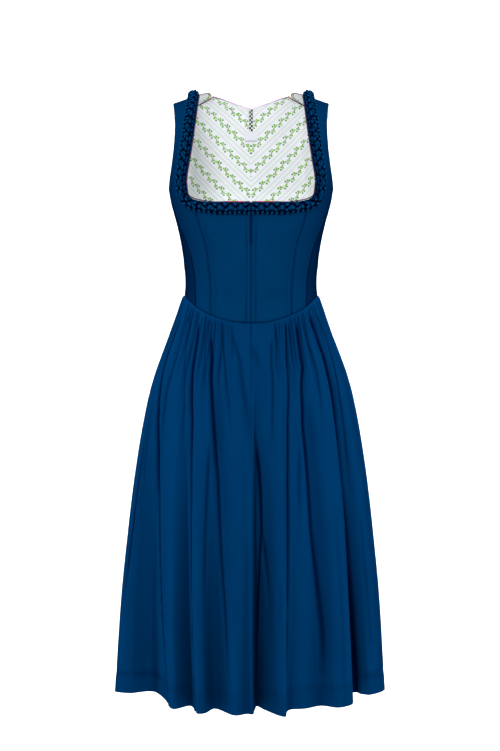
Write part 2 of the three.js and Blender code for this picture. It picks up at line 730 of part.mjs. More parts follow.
// the whole skirt's outer face: each point with its normal, by row and by half column
function skirtSheet() {
  const turns = skirtTurns(2 * GATHERS.columns);
  const crest = (k) => [1, 0, -1, 0][k % 4];
  const rows = SKIRT_ROWS.map((share) => turns.map((turn, k) => skirtPoint(turn, share, crest(k))));
  const around = turns.length;
  const at = (row, column) => rows[clamp(row, 0, rows.length - 1)][(column + around) % around];
  const normals = rows.map((row, j) => row.map((_, k) => {
    const along = at(j, k + 1).clone().sub(at(j, k - 1));
    return along.cross(at(j - 1, k).clone().sub(at(j + 1, k))).normalize();
  }));
  return { turns, rows, normals, around };
}

// one skirt panel: the half columns of the sheet from one seam to the next
function skirtPanel(sheet, from, to) {
  const points = [];
  const normals = [];
  const index = SKIRT_ROWS.map(() => new Map());
  for (let j = 0; j < SKIRT_ROWS.length; j += 1) {
    for (let k = from; k <= to; k += j < GATHERED_ROWS ? 2 : 1) {
      index[j].set(k, points.length);
      points.push(sheet.rows[j][k % sheet.around]);
      normals.push(sheet.normals[j][k % sheet.around]);
    }
  }
  const faces = [];
  for (let j = 0; j + 1 < SKIRT_ROWS.length; j += 1) {
    const step = j < GATHERED_ROWS ? 2 : 1;
    for (let k = from; k < to; k += step) {
      const below = [k, k + 1, k + step].filter((column) => index[j + 1].has(column));
      const corners = [...new Set(below)].map((column) => index[j + 1].get(column));
      faces.push([index[j].get(k), ...corners, index[j].get(k + step)]);
    }
  }
  const onSeam = new Set(index.flatMap((row) => [row.get(from), row.get(to)]));
  const seams = rimOf(faces).filter(([a, b]) => onSeam.has(a) && onSeam.has(b));
  const outer = inset(points, normals, seams, GAP.seam * 0.75);
  const inner = outer.map((point, i) => point.clone().addScaledVector(normals[i], -WALL.skirt));
  return wall(outer, inner, faces);
}

// ---------------------------------------------------------------- the dress

const dress = new THREE.Group();

function add(name, geometry, colour, roughness = 0.85) {
  const material = new THREE.MeshStandardMaterial({ color: colour, roughness, metalness: 0 });
  const mesh = new THREE.Mesh(geometry, material);
  mesh.name = name;
  dress.add(mesh);
}

function addPair(name, geometry, colour) {
  add(`${name}_left`, geometry, colour);
  add(`${name}_right`, mirrored(geometry), colour);
}

for (const [name, sheet] of Object.entries(CUT)) {
  addPair(name, bodyCloth(sheet, 0, WALL.bodice), COLOUR.cloth);
}
for (const [name, sheet] of Object.entries(LINING_CUT)) {
  addPair(name, bodyCloth(sheet, LINING_DEPTH, WALL.lining), COLOUR.lining);
}

// the zip's tape fills the lining's layer between its two front edges
const zipNet = net(zipBandGrid.map(([centre, band]) => [[-band[0], band[1]], centre, band]));
add("front_zip", bodyCloth(zipNet, LINING_DEPTH, WALL.lining), COLOUR.zip);

addPair("neck_braid", braid(), COLOUR.braid);
// the two runs of piping stop short of each other at the shoulder seam and at the centre lines
const frontNeckEdge = [...neckLine, ...strapNeck.slice(1)];
frontNeckEdge[0] = [turnAt(0.5, neckLine[0][1]), neckLine[0][1]];
frontNeckEdge.push(straight(frontNeckEdge.pop(), last(frontNeckEdge), 10)[3]);
addPair("neck_piping", edgePiping(frontNeckEdge), COLOUR.piping);
const backNeckEdge = [...backTopNeck.slice(1).reverse(), backNeckPlace(2.2)];
addPair("back_piping", edgePiping(backNeckEdge), COLOUR.piping);
addPair("shoulder_piping", shoulderPiping(), COLOUR.piping);

const loopTop = last(backTop)[1];
const labelTop = loopTop - LOOP.length - LABEL.below;
add("hanger_loop", centreBackStrip(LOOP.width, loopTop, loopTop - LOOP.length, 2, LOOP.rows, WALL.loop), COLOUR.ribbon);
add("neck_label", centreBackStrip(
  LABEL.width, labelTop, labelTop - LABEL.height, LABEL.columns, 2, WALL.label), COLOUR.label);

const skirt = skirtSheet();
const leftSeam = 2 * Math.round(skirt.turns.findIndex((turn) => turn >= 90) / 2);
const rightSeam = skirt.around - leftSeam;
add("skirt_front_left", skirtPanel(skirt, 0, leftSeam), COLOUR.skirt);
add("skirt_back", skirtPanel(skirt, leftSeam, rightSeam), COLOUR.skirt);
add("skirt_front_right", skirtPanel(skirt, rightSeam, skirt.around), COLOUR.skirt);

export default dress;
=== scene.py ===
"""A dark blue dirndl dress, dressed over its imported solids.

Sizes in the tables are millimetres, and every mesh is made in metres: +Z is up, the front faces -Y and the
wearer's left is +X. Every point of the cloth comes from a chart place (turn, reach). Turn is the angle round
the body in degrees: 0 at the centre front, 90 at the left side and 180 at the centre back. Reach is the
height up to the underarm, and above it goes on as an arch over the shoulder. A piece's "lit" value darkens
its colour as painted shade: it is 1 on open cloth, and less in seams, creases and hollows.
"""

from __future__ import annotations

import logging
import math
from dataclasses import dataclass, field
from enum import Enum

import bpy
import numpy as np
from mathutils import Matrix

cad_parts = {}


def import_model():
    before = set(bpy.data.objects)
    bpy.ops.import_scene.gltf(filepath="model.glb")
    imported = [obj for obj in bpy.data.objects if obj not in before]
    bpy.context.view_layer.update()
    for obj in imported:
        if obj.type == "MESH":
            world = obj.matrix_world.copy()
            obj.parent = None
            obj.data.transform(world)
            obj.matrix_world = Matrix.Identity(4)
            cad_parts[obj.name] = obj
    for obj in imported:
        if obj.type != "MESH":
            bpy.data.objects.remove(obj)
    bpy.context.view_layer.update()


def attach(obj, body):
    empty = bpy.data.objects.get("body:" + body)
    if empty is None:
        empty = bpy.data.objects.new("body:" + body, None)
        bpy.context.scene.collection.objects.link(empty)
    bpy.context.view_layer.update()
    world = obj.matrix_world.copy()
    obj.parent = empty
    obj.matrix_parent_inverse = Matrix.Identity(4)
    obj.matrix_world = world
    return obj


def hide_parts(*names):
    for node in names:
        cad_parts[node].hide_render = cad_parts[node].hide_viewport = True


LOG = logging.getLogger("dirndl")
MM = 0.001
SEED = 7
TURN = 6.283
MIRROR = np.array([-1.0, 1.0, 1.0])
Array = np.ndarray
Triple = tuple[float, float, float]
Pair = tuple[float, float]
Material = bpy.types.Material
Piece = bpy.types.Object
Socket = bpy.types.NodeSocket


class Side(Enum):
    """A side of the dress, as its wearer names it. Everything is worked out for the left one."""

    LEFT = "left"
    RIGHT = "right"

    def facing(self, vectors: Array) -> Array:
        """Returns vectors of the left side, mirrored where this is the right one."""
        return vectors * MIRROR if self is Side.RIGHT else vectors

    def wound(self, blocks: list[Array]) -> list[Array]:
        """Returns faces of the left side, turned round where this is the right one, so that they face out."""
        return [block[:, ::-1] for block in blocks] if self is Side.RIGHT else blocks


# ---------------------------------------------------------------- tables and small curves


class Table:
    """Rows of named columns that are read along smooth curves."""

    def __init__(self, names: str, rows: list[tuple[float, ...]]) -> None:
        """Keeps the columns.

        Args:
            names: the columns' names, parted by spaces.
            rows: one tuple of values for each row.
        """
        self.columns = {name: np.array(values, float) for name, values in zip(names.split(), zip(*rows))}

    def read(self, by: str, column: str, at: Array | float) -> Array:
        """Reads a column at places along another one.

        Args:
            by: the column that gives the place.
            column: the column to read.
            at: the places.

        Returns:
            The column's values there, held at its end values outside the table.
        """
        x, y = self.columns[by], self.columns[column]
        if x[0] > x[-1]:
            x, y = x[::-1], y[::-1]
        index = np.arange(len(x))
        low, high = np.maximum(index - 1, 0), np.minimum(index + 1, len(x) - 1)
        slope = (y[high] - y[low]) / (x[high] - x[low])
        place = np.clip(np.asarray(at, float), x[0], x[-1])
        i = np.clip(np.searchsorted(x, place, side="right") - 1, 0, len(x) - 2)
        span = x[i + 1] - x[i]
        t = (place - x[i]) / span
        return ((2 * t**3 - 3 * t**2 + 1) * y[i] + (t**3 - 2 * t**2 + t) * span * slope[i]
                + (3 * t**2 - 2 * t**3) * y[i + 1] + (t**3 - t**2) * span * slope[i + 1])


def mix(a: Array | float, b: Array | float, share: Array | float) -> Array | float:
    """Returns the value a share of the way from a to b."""
    return a + (b - a) * share


def step_between(value: Array, low: float, high: float) -> Array:
    """Returns a soft step from 0 at low to 1 at high."""
    t = np.clip((value - low) / (high - low), 0, 1)
    return t * t * (3 - 2 * t)


def bump(value: Array, width: float) -> Array:
    """Returns a bell that is 1 where the value is 0 and falls off over the width."""
    return np.exp(-((value / width) ** 2))


def unit(vectors: Array) -> Array:
    """Returns the vectors at length 1."""
    return vectors / np.maximum(np.linalg.norm(vectors, axis=-1, keepdims=True), 1e-9)


def places(turn: Array | float, reach: Array | float) -> Array:
    """Returns chart places from turns and reaches."""
    return np.stack(np.broadcast_arrays(np.asarray(turn, float), np.asarray(reach, float)), axis=-1)


def straight(start: Array, end: Array, count: int) -> Array:
    """Returns evenly spaced chart places on a straight line of the chart."""
    return start + (end - start) * np.linspace(0, 1, count)[:, None]


def run_along(points: Array) -> Array:
    """Returns each point's distance along a line of points."""
    return np.concatenate([[0], np.cumsum(np.linalg.norm(np.diff(points, axis=0), axis=1))])


def coons(bottom: Array, top: Array, left: Array, right: Array, across: Array, up: Array) -> Array:
    """Fills the patch inside four edges that share their corners.

    Args:
        bottom: places of the lower edge, one for each share in across.
        top: places of the upper edge.
        left: places of the first side, one for each share in up.
        right: places of the other side.
        across: shares along the lower and upper edge.
        up: shares along the sides.

    Returns:
        A grid of places, by row and column.
    """
    u, v = across[None, :, None], up[:, None, None]
    ruled = (1 - v) * bottom[None] + v * top[None] + (1 - u) * left[:, None] + u * right[:, None]
    return ruled - ((1 - v) * ((1 - u) * bottom[0] + u * bottom[-1]) + v * ((1 - u) * top[0] + u * top[-1]))


def shares(width: float, step: float, near: tuple[float, ...] = ()) -> Array:
    """Spaces shares of a width evenly, with closer ones near both ends.

    Args:
        width: the width that the shares run over.
        step: the even step.
        near: distances from each end that get a share of their own.

    Returns:
        Rising shares from 0 to 1.
    """
    reach = (near[-1] if near else 0.0) / width
    count = max(round(width * (1 - 2 * reach) / step), 2)
    ends = np.array(near[:-1]) / width if near else np.array([])
    inner = np.linspace(reach, 1 - reach, count + 1)
    return np.unique(np.round(np.concatenate([[0.0], ends, inner, 1 - ends, [1.0]]), 7))


# ---------------------------------------------------------------- the body's form


TORSO = Table("height halfWidth front back square", [
    (-420, 134, 105, 95, 2.2),
    (-390, 127, 101, 91, 2.25),
    (-356, 118.5, 99, 86, 2.3),
    (-326, 117, 103, 86, 2.35),
    (-299, 119.5, 110, 89, 2.45),
    (-267, 123.5, 119, 94, 2.5),
    (-231, 131, 126, 100, 2.6),
    (-190, 142, 125, 108, 2.7),
    (-160, 147, 122, 112, 2.7),
])


def ring_place(turn: Array, half_width: Array, front: Array, back: Array,
               square: Array) -> tuple[Array, Array]:
    """Places points on a superellipse ring.

    Args:
        turn: angles round the ring, in degrees.
        half_width: the ring's half width.
        front: its depth in front of the side line.
        back: its depth behind it.
        square: its squareness, 2 for an ellipse.

    Returns:
        The x and y of each point.
    """
    across, along = np.sin(np.radians(turn)), np.cos(np.radians(turn))
    depth = np.where(along > 0, -front, back)
    power = 2 / square
    return np.sign(across) * half_width * np.abs(across) ** power, depth * np.abs(along) ** power


@dataclass(frozen=True)
class Form:
    """The worn form that the bodice follows."""

    underarm: float = -160.0
    tip_height: float = -11.0
    tip_across: float = 139.0
    slope: float = 0.34
    ridge: float = 6.0
    arch: float = 1.8
    reach_per_degree: float = 2.6
    waist_side: float = -354.0
    front_dip: float = 51.0
    back_dip: float = 4.0

    def arch_reach(self, arch: Array | float) -> Array | float:
        """Returns the reach of an angle of the arch over the shoulder."""
        return self.underarm + arch * self.reach_per_degree

    def ring(self, turn: Array, level: Array) -> tuple[Array, Array]:
        """Returns the x and y of the ring of a height."""
        sizes = [TORSO.read("height", name, level) for name in ("halfWidth", "front", "back", "square")]
        return ring_place(turn, *sizes)

    def point(self, place: Array) -> Array:
        """Places chart places on the body.

        Args:
            place: turn and reach along the last axis.

        Returns:
            Their points in millimetres.
        """
        turn, reach = place[..., 0], place[..., 1]
        level = np.minimum(reach, self.underarm)
        x, y = self.ring(turn, level)
        arch = np.radians(np.maximum(reach - self.underarm, 0) / self.reach_per_degree)
        rise = np.abs(np.sin(arch)) ** (2 / self.arch)
        lean = np.abs(np.cos(arch)) ** (2 / self.arch)
        foot = np.where(arch <= math.pi / 2, y, self.ring(180 - turn, level)[1])
        top = self.tip_height + (self.tip_across - np.abs(x)) * self.slope
        above = reach > self.underarm
        return np.stack([
            x,
            np.where(above, self.ridge + (foot - self.ridge) * lean, y),
            np.where(above, self.underarm + (top - self.underarm) * rise, reach),
        ], axis=-1)

    def steps(self, place: Array) -> tuple[Array, Array]:
        """Measures how the body runs on at chart places.

        Args:
            place: the chart places.

        Returns:
            The steps for a degree of turn and for a millimetre of reach.
        """
        turn, reach = place[..., 0], place[..., 1]
        side = self.point(places(turn + 0.4, reach)) - self.point(places(turn - 0.4, reach))
        up = self.point(places(turn, reach + 0.8)) - self.point(places(turn, reach - 0.8))
        return side / 0.8, up / 1.6

    def normal(self, place: Array) -> Array:
        """Returns the outward normals at chart places."""
        side, up = self.steps(place)
        return unit(np.cross(side, up))

    def turn_at(self, across: Array | float, height: Array | float, on_back: bool = False) -> Array:
        """Finds where the ring of a height lies a distance across.

        Args:
            across: the distance from the middle.
            height: the height or reach.
            on_back: whether the place is on the back.

        Returns:
            The turns in degrees.
        """
        level = np.minimum(height, self.underarm)
        share = np.clip(np.asarray(across) / TORSO.read("height", "halfWidth", level), 0, 1)
        turn = np.degrees(np.arcsin(share ** (TORSO.read("height", "square", level) / 2)))
        return 180 - turn if on_back else turn

    def waistline(self, turn: Array | float) -> Array:
        """Returns the waist seam's height at turns."""
        along = np.cos(np.radians(turn))
        return self.waist_side - np.where(along > 0, self.front_dip, self.back_dip) * along * along

    def beside(self, line: Array, distance: Array) -> Array:
        """Steps sideways from a line of chart places, to its right as seen from outside.

        Args:
            line: chart places.
            distance: how far, one value for each place or one for each place and column.

        Returns:
            The places beside the line.
        """
        points = self.point(line)
        ahead = unit(np.gradient(points, axis=0))
        away = unit(np.cross(ahead, self.normal(line)))
        side, up = self.steps(line)
        per_turn = (away * side).sum(-1) / (side * side).sum(-1)
        per_reach = (away * up).sum(-1) / (up * up).sum(-1)
        if distance.ndim == 2:
            per_turn, per_reach, line = per_turn[:, None], per_reach[:, None], line[:, None]
        return places(line[..., 0] + per_turn * distance, line[..., 1] + per_reach * distance)

    def above(self, place: Array, height: Array | float) -> Array:
        """Returns points at a height over the body."""
        return self.point(place) + self.normal(place) * np.asarray(height)[..., None]

    def spaced(self, through: Array, step: float) -> Array:
        """Runs a smooth line through chart places.

        Args:
            through: the places.
            step: the wanted step over the body.

        Returns:
            Evenly spaced chart places on the line.
        """
        scale = np.array([2.0, 1.0])
        knots = np.vstack([2 * through[0] - through[1], through, 2 * through[-1] - through[-2]]) * scale
        fine = []
        for p0, p1, p2, p3 in zip(knots, knots[1:], knots[2:], knots[3:]):
            t = [0.0]
            for a, b in ((p0, p1), (p1, p2), (p2, p3)):
                t.append(t[-1] + max(np.linalg.norm(b - a), 1e-6) ** 0.5)
            at = np.linspace(t[1], t[2], 40, endpoint=False)[:, None]
            a1 = ((t[1] - at) * p0 + (at - t[0]) * p1) / (t[1] - t[0])
            a2 = ((t[2] - at) * p1 + (at - t[1]) * p2) / (t[2] - t[1])
            a3 = ((t[3] - at) * p2 + (at - t[2]) * p3) / (t[3] - t[2])
            b1 = ((t[2] - at) * a1 + (at - t[0]) * a2) / (t[2] - t[0])
            b2 = ((t[3] - at) * a2 + (at - t[1]) * a3) / (t[3] - t[1])
            fine.append(((t[2] - at) * b1 + (at - t[1]) * b2) / (t[2] - t[1]))
        line = np.vstack([*fine, knots[-2:-1]]) / scale
        length = run_along(self.point(line))
        even = np.linspace(0, length[-1], round(length[-1] / step) + 1)
        return places(np.interp(even, length, line[:, 0]), np.interp(even, length, line[:, 1]))


FORM = Form()


# ---------------------------------------------------------------- meshes


def grid_faces(rows: int, columns: int, first: int = 0) -> Array:
    """Joins a grid of corners that are numbered row by row.

    Args:
        rows: how many rows the grid has.
        columns: how many columns.
        first: the first corner's number.

    Returns:
        The four-sided faces.
    """
    index = first + np.arange(rows * columns).reshape(rows, columns)
    return np.stack([index[:-1, :-1], index[:-1, 1:], index[1:, 1:], index[1:, :-1]], -1).reshape(-1, 4)


def crossings(points: Array, faces: Array) -> Array:
    """Returns the outward vectors of four-sided faces, each twice as long as its face is large."""
    corner = points[faces]
    return np.cross(corner[:, 2] - corner[:, 0], corner[:, 3] - corner[:, 1])


@dataclass
class Net:
    """Chart places or points joined by four-sided faces."""

    places: Array
    faces: Array

    @classmethod
    def of(cls, *grids: Array) -> Net:
        """Joins grids, merging the places that they share.

        Args:
            grids: places by row and column.

        Returns:
            The net.
        """
        faces, first = [], 0
        for grid in grids:
            faces.append(grid_faces(*grid.shape[:2], first))
            first += grid.shape[0] * grid.shape[1]
        every = np.vstack([grid.reshape(-1, grid.shape[-1]) for grid in grids])
        _, kept, back = np.unique(np.round(every, 4), axis=0, return_index=True, return_inverse=True)
        return cls(every[kept], back.reshape(-1)[np.vstack(faces)])

    def rim(self) -> Array:
        """Finds the edges that belong to one face only.

        Returns:
            Their corners, in the direction of that face.
        """
        pairs = np.vstack([np.stack([self.faces[:, k], self.faces[:, (k + 1) % 4]], -1) for k in range(4)])
        keys = np.sort(pairs, axis=1)
        _, back, count = np.unique(keys, axis=0, return_inverse=True, return_counts=True)
        return pairs[count[back.reshape(-1)] == 1]


def distance_to(points: Array, line: Array) -> Array:
    """Measures from points to a line.

    Args:
        points: the points.
        line: the line's own points.

    Returns:
        Each point's least distance.
    """
    best = np.full(len(points), np.inf)
    for a, b in zip(line[:-1], line[1:]):
        span = b - a
        t = np.clip(((points - a) @ span) / max(span @ span, 1e-9), 0, 1)
        best = np.minimum(best, np.linalg.norm(points - a - t[:, None] * span, axis=1))
    return best


def vertex_normals(points: Array, faces: Array) -> Array:
    """Works out the mean normals of four-sided faces at their corners.

    Args:
        points: the corners.
        faces: the faces.

    Returns:
        A normal for each corner.
    """
    total = np.zeros_like(points)
    for k in range(4):
        np.add.at(total, faces[:, k], crossings(points, faces))
    return unit(total)


def linked(name: str, mesh: bpy.types.Mesh) -> Piece:
    """Makes an object of a mesh.

    Args:
        name: the object's name.
        mesh: the mesh.

    Returns:
        The object, linked to the scene.
    """
    piece = bpy.data.objects.new(name, mesh)
    bpy.context.scene.collection.objects.link(piece)
    return piece


def make_piece(name: str, points: Array, faces: list[Array], material: Material,
               values: dict[str, Array] | None = None, creases: Array | None = None) -> Piece:
    """Makes a smooth mesh piece.

    Args:
        name: the piece's name.
        points: its corners in millimetres.
        faces: arrays of faces with equal numbers of corners.
        material: its finish.
        values: what each corner carries: two values make a UV map and one an attribute.
        creases: pairs of corners whose edges stay sharp.

    Returns:
        The new object.
    """
    mesh = bpy.data.meshes.new(name)
    mesh.vertices.add(len(points))
    mesh.vertices.foreach_set("co", (points * MM).astype(np.float32).ravel())
    sizes = np.concatenate([np.full(len(block), block.shape[1]) for block in faces])
    corners = np.concatenate([block.ravel() for block in faces])
    mesh.loops.add(len(corners))
    mesh.loops.foreach_set("vertex_index", corners.astype(np.int32))
    mesh.polygons.add(len(sizes))
    mesh.polygons.foreach_set("loop_start", np.concatenate([[0], np.cumsum(sizes)[:-1]]).astype(np.int32))
    mesh.update(calc_edges=True)
    mesh.validate()
    mesh.shade_smooth()
    for key, value in (values or {}).items():
        if value.ndim == 2:
            layer = mesh.uv_layers.new(name=key)
            layer.data.foreach_set("uv", value[corners].astype(np.float32).ravel())
        else:
            attribute = mesh.attributes.new(key, "FLOAT", "POINT")
            attribute.data.foreach_set("value", value.astype(np.float32))
    if creases is not None:
        ends = np.zeros(len(mesh.edges) * 2, np.int32)
        mesh.edges.foreach_get("vertices", ends)
        code = lambda pairs: pairs.min(1).astype(np.int64) * len(points) + pairs.max(1)
        sharp = np.isin(code(ends.reshape(-1, 2)), code(creases))
        mesh.attributes.new("sharp_edge", "BOOLEAN", "EDGE").data.foreach_set("value", sharp)
    mesh.materials.append(material)
    return linked(name, mesh)


def make_shell(name: str, net: Net, outer: Array, thickness: float, material: Material,
               values: dict[str, Array] | None = None, side: Side = Side.LEFT) -> Piece:
    """Makes cloth as a closed thin shell.

    Args:
        name: the piece's name.
        net: the faces of its outer side.
        outer: the outer side's points in millimetres.
        thickness: the cloth's thickness.
        material: its finish.
        values: what each corner of the outer side carries.
        side: the side that it is made for.

    Returns:
        The new object.
    """
    inner = outer - vertex_normals(outer, net.faces) * thickness
    rim, count = net.rim(), len(outer)
    blocks = [net.faces, net.faces[:, ::-1] + count,
              np.stack([rim[:, 1], rim[:, 0], rim[:, 0] + count, rim[:, 1] + count], -1)]
    doubled = {key: np.concatenate([value, value]) for key, value in (values or {}).items()}
    return make_piece(name, side.facing(np.vstack([outer, inner])), side.wound(blocks), material, doubled,
                      np.vstack([rim, rim + count]))


def hand_over(piece: Piece, slot: str, *stands_for: str) -> None:
    """Rides a finished piece on the dress's one body and reports it.

    Args:
        piece: the piece.
        slot: a slot name; not used.
        stands_for: the solids that it replaces.
    """
    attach(piece, "root")
    if stands_for:
        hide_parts(*stands_for)
    LOG.info("%s: %d faces", piece.name, len(piece.data.polygons))


def state_cut(piece: Piece, net: Net, points: Array, cut: Pair, rests_on: list[str]) -> None:
    """Logs how much cloth a panel takes.

    Args:
        piece: the panel.
        net: the faces of its outer side.
        points: the outer side's points.
        cut: the cloth's width and length in metres; not used.
        rests_on: the pieces that it is sewn to; not used.
    """
    area = float(np.linalg.norm(crossings(points, net.faces), axis=1).sum() / 2 * MM * MM)
    LOG.info("%s: %.0f cm2 of cloth", piece.name, area * 1e4)


# ---------------------------------------------------------------- geometry nodes


def add_node(tree: bpy.types.NodeTree, kind: str, links: dict[str | int, object],
             settings: dict[str, object]) -> bpy.types.Node:
    """Adds a node to a tree.

    Args:
        tree: the tree.
        kind: the node's type.
        links: its inputs, each a socket or a value.
        settings: its properties.

    Returns:
        The node.
    """
    node = tree.nodes.new(kind)
    for key, value in settings.items():
        setattr(node, key, value)
    for key, value in links.items():
        if isinstance(value, Socket):
            tree.links.new(value, node.inputs[key])
        else:
            node.inputs[key].default_value = value
    return node


class NodeTree:
    """A geometry node tree with named inputs, ending in Realize Instances and Set Material."""

    def __init__(self, name: str, inputs: dict[str, float]) -> None:
        """Starts the tree.

        Args:
            name: the tree's name.
            inputs: its named sizes.
        """
        self.tree = bpy.data.node_groups.new(name, "GeometryNodeTree")
        face = self.tree.interface
        face.new_socket("Geometry", in_out="INPUT", socket_type="NodeSocketGeometry")
        face.new_socket("Finish", in_out="INPUT", socket_type="NodeSocketMaterial")
        for key, value in inputs.items():
            face.new_socket(key, in_out="INPUT", socket_type="NodeSocketFloat").default_value = value
        face.new_socket("Geometry", in_out="OUTPUT", socket_type="NodeSocketGeometry")
        self.start = self.tree.nodes.new("NodeGroupInput")

    def node(self, kind: str, links: dict[str | int, object], **settings: object) -> bpy.types.Node:
        """Returns a new node of the tree."""
        return add_node(self.tree, kind, links, settings)

    def input(self, key: str) -> Socket:
        """Returns one of the tree's inputs."""
        return self.start.outputs[key]

    def attribute(self, key: str) -> Socket:
        """Returns a named vector of the points."""
        node = self.node("GeometryNodeInputNamedAttribute", {"Name": key}, data_type="FLOAT_VECTOR")
        return node.outputs["Attribute"]

    def finish(self, geometry: Socket) -> None:
        """Ends the tree in realized, finished geometry.

        Args:
            geometry: what the tree has made.
        """
        real = self.node("GeometryNodeRealizeInstances", {"Geometry": geometry})
        painted = self.node("GeometryNodeSetMaterial", {
            "Geometry": real.outputs[0], "Material": self.input("Finish")})
        smooth = self.node("GeometryNodeSetShadeSmooth", {"Geometry": painted.outputs[0]})
        end = self.tree.nodes.new("NodeGroupOutput")
        self.tree.links.new(smooth.outputs[0], end.inputs[0])

    def apply(self, name: str, source: Piece, material: Material,
              **sizes: float) -> Piece:
        """Runs the tree on an object and keeps the result as a plain mesh.

        Args:
            name: the new piece's name.
            source: the object that holds the points.
            material: the piece's finish.
            sizes: values for the tree's named inputs.

        Returns:
            The new piece.
        """
        modifier = source.modifiers.new("nodes", "NODES")
        modifier.node_group = self.tree
        wanted = {"Finish": material, **sizes}
        for item in self.tree.interface.items_tree:
            if item.in_out == "INPUT" and item.name in wanted:
                modifier[item.identifier] = wanted[item.name]
        graph = bpy.context.evaluated_depsgraph_get()
        mesh = bpy.data.meshes.new_from_object(source.evaluated_get(graph), preserve_all_data_layers=True,
                                               depsgraph=graph)
        source.modifiers.clear()
        bpy.data.objects.remove(source)
        mesh.name = name
        return linked(name, mesh)


def point_chain(lines: list[dict[str, Array]]) -> Piece:
    """Makes an object of loose lines whose points carry attributes.

    Args:
        lines: for each line its points under "point", in millimetres, and other attributes.

    Returns:
        The object.
    """
    points = np.vstack([line["point"] for line in lines])
    pairs, first = [], 0
    for line in lines:
        last = first + len(line["point"]) - 1
        pairs += [(k, k + 1) for k in range(first, last)]
        first = last + 1
    mesh = bpy.data.meshes.new("lines")
    mesh.from_pydata((points * MM).tolist(), pairs, [])
    for key in lines[0]:
        if key == "point":
            continue
        value = np.concatenate([line[key] for line in lines])
        kind, slot = ("FLOAT_VECTOR", "vector") if value.ndim == 2 else ("FLOAT", "value")
        mesh.attributes.new(key, kind, "POINT").data.foreach_set(slot, value.astype(np.float32).ravel())
    return linked("lines", mesh)


def lay_on_points(tree: NodeTree, shape: Socket, turn: Socket) -> None:
    """Ends a tree with a shape on every point.

    Args:
        tree: the tree.
        shape: the shape.
        turn: how the shape is turned at each point.
    """
    spots = tree.node("GeometryNodeMeshToPoints", {"Mesh": tree.input("Geometry")})
    laid = tree.node("GeometryNodeInstanceOnPoints", {
        "Points": spots.outputs[0], "Instance": shape, "Rotation": turn})
    tree.finish(laid.outputs[0])


def stitch_tree() -> NodeTree:
    """Builds the tree that lays one rounded stitch on every point, along its direction.

    Returns:
        The tree.
    """
    tree = NodeTree("stitches", {"Length": 2.4 * MM, "Thickness": 0.45 * MM})
    half = tree.node("ShaderNodeMath", {0: tree.input("Thickness"), 1: 0.5}, operation="MULTIPLY")
    long = tree.node("ShaderNodeMath", {0: tree.input("Length"), 1: 0.5}, operation="MULTIPLY")
    ball = tree.node("GeometryNodeMeshUVSphere", {"Segments": 6, "Rings": 5, "Radius": 1.0})
    size = tree.node("ShaderNodeCombineXYZ", {
        "X": half.outputs[0], "Y": half.outputs[0], "Z": long.outputs[0]})
    shape = tree.node("GeometryNodeTransform", {"Geometry": ball.outputs[0], "Scale": size.outputs[0]})
    turn = tree.node("FunctionNodeAlignRotationToVector", {"Vector": tree.attribute("along")}, axis="Z")
    lay_on_points(tree, shape.outputs[0], turn.outputs[0])
    return tree


def sew(name: str, lines: list[dict[str, Array]], thread: Material, slot: str, **sizes: float) -> None:
    """Sews rows of stitches, and hands them over.

    Args:
        name: the piece's name.
        lines: each row's points and their directions along it.
        thread: the stitches' finish.
        slot: a slot name, passed on to hand_over.
        sizes: a stitch's length and thickness, where they aren't the usual ones.
    """
    hand_over(stitch_tree().apply(name, point_chain(lines), thread, **sizes), slot)


def cord_tree() -> NodeTree:
    """Builds the tree that makes a round cord along every line.

    Returns:
        The tree.
    """
    tree = NodeTree("cord", {"Radius": 1.1 * MM})
    curve = tree.node("GeometryNodeMeshToCurve", {"Mesh": tree.input("Geometry")})
    ring = tree.node("GeometryNodeCurvePrimitiveCircle", {"Resolution": 10, "Radius": tree.input("Radius")})
    tube = tree.node("GeometryNodeCurveToMesh", {
        "Curve": curve.outputs[0], "Profile Curve": ring.outputs[0], "Fill Caps": True})
    tree.finish(tube.outputs[0])
    return tree


# ---------------------------------------------------------------- finishes


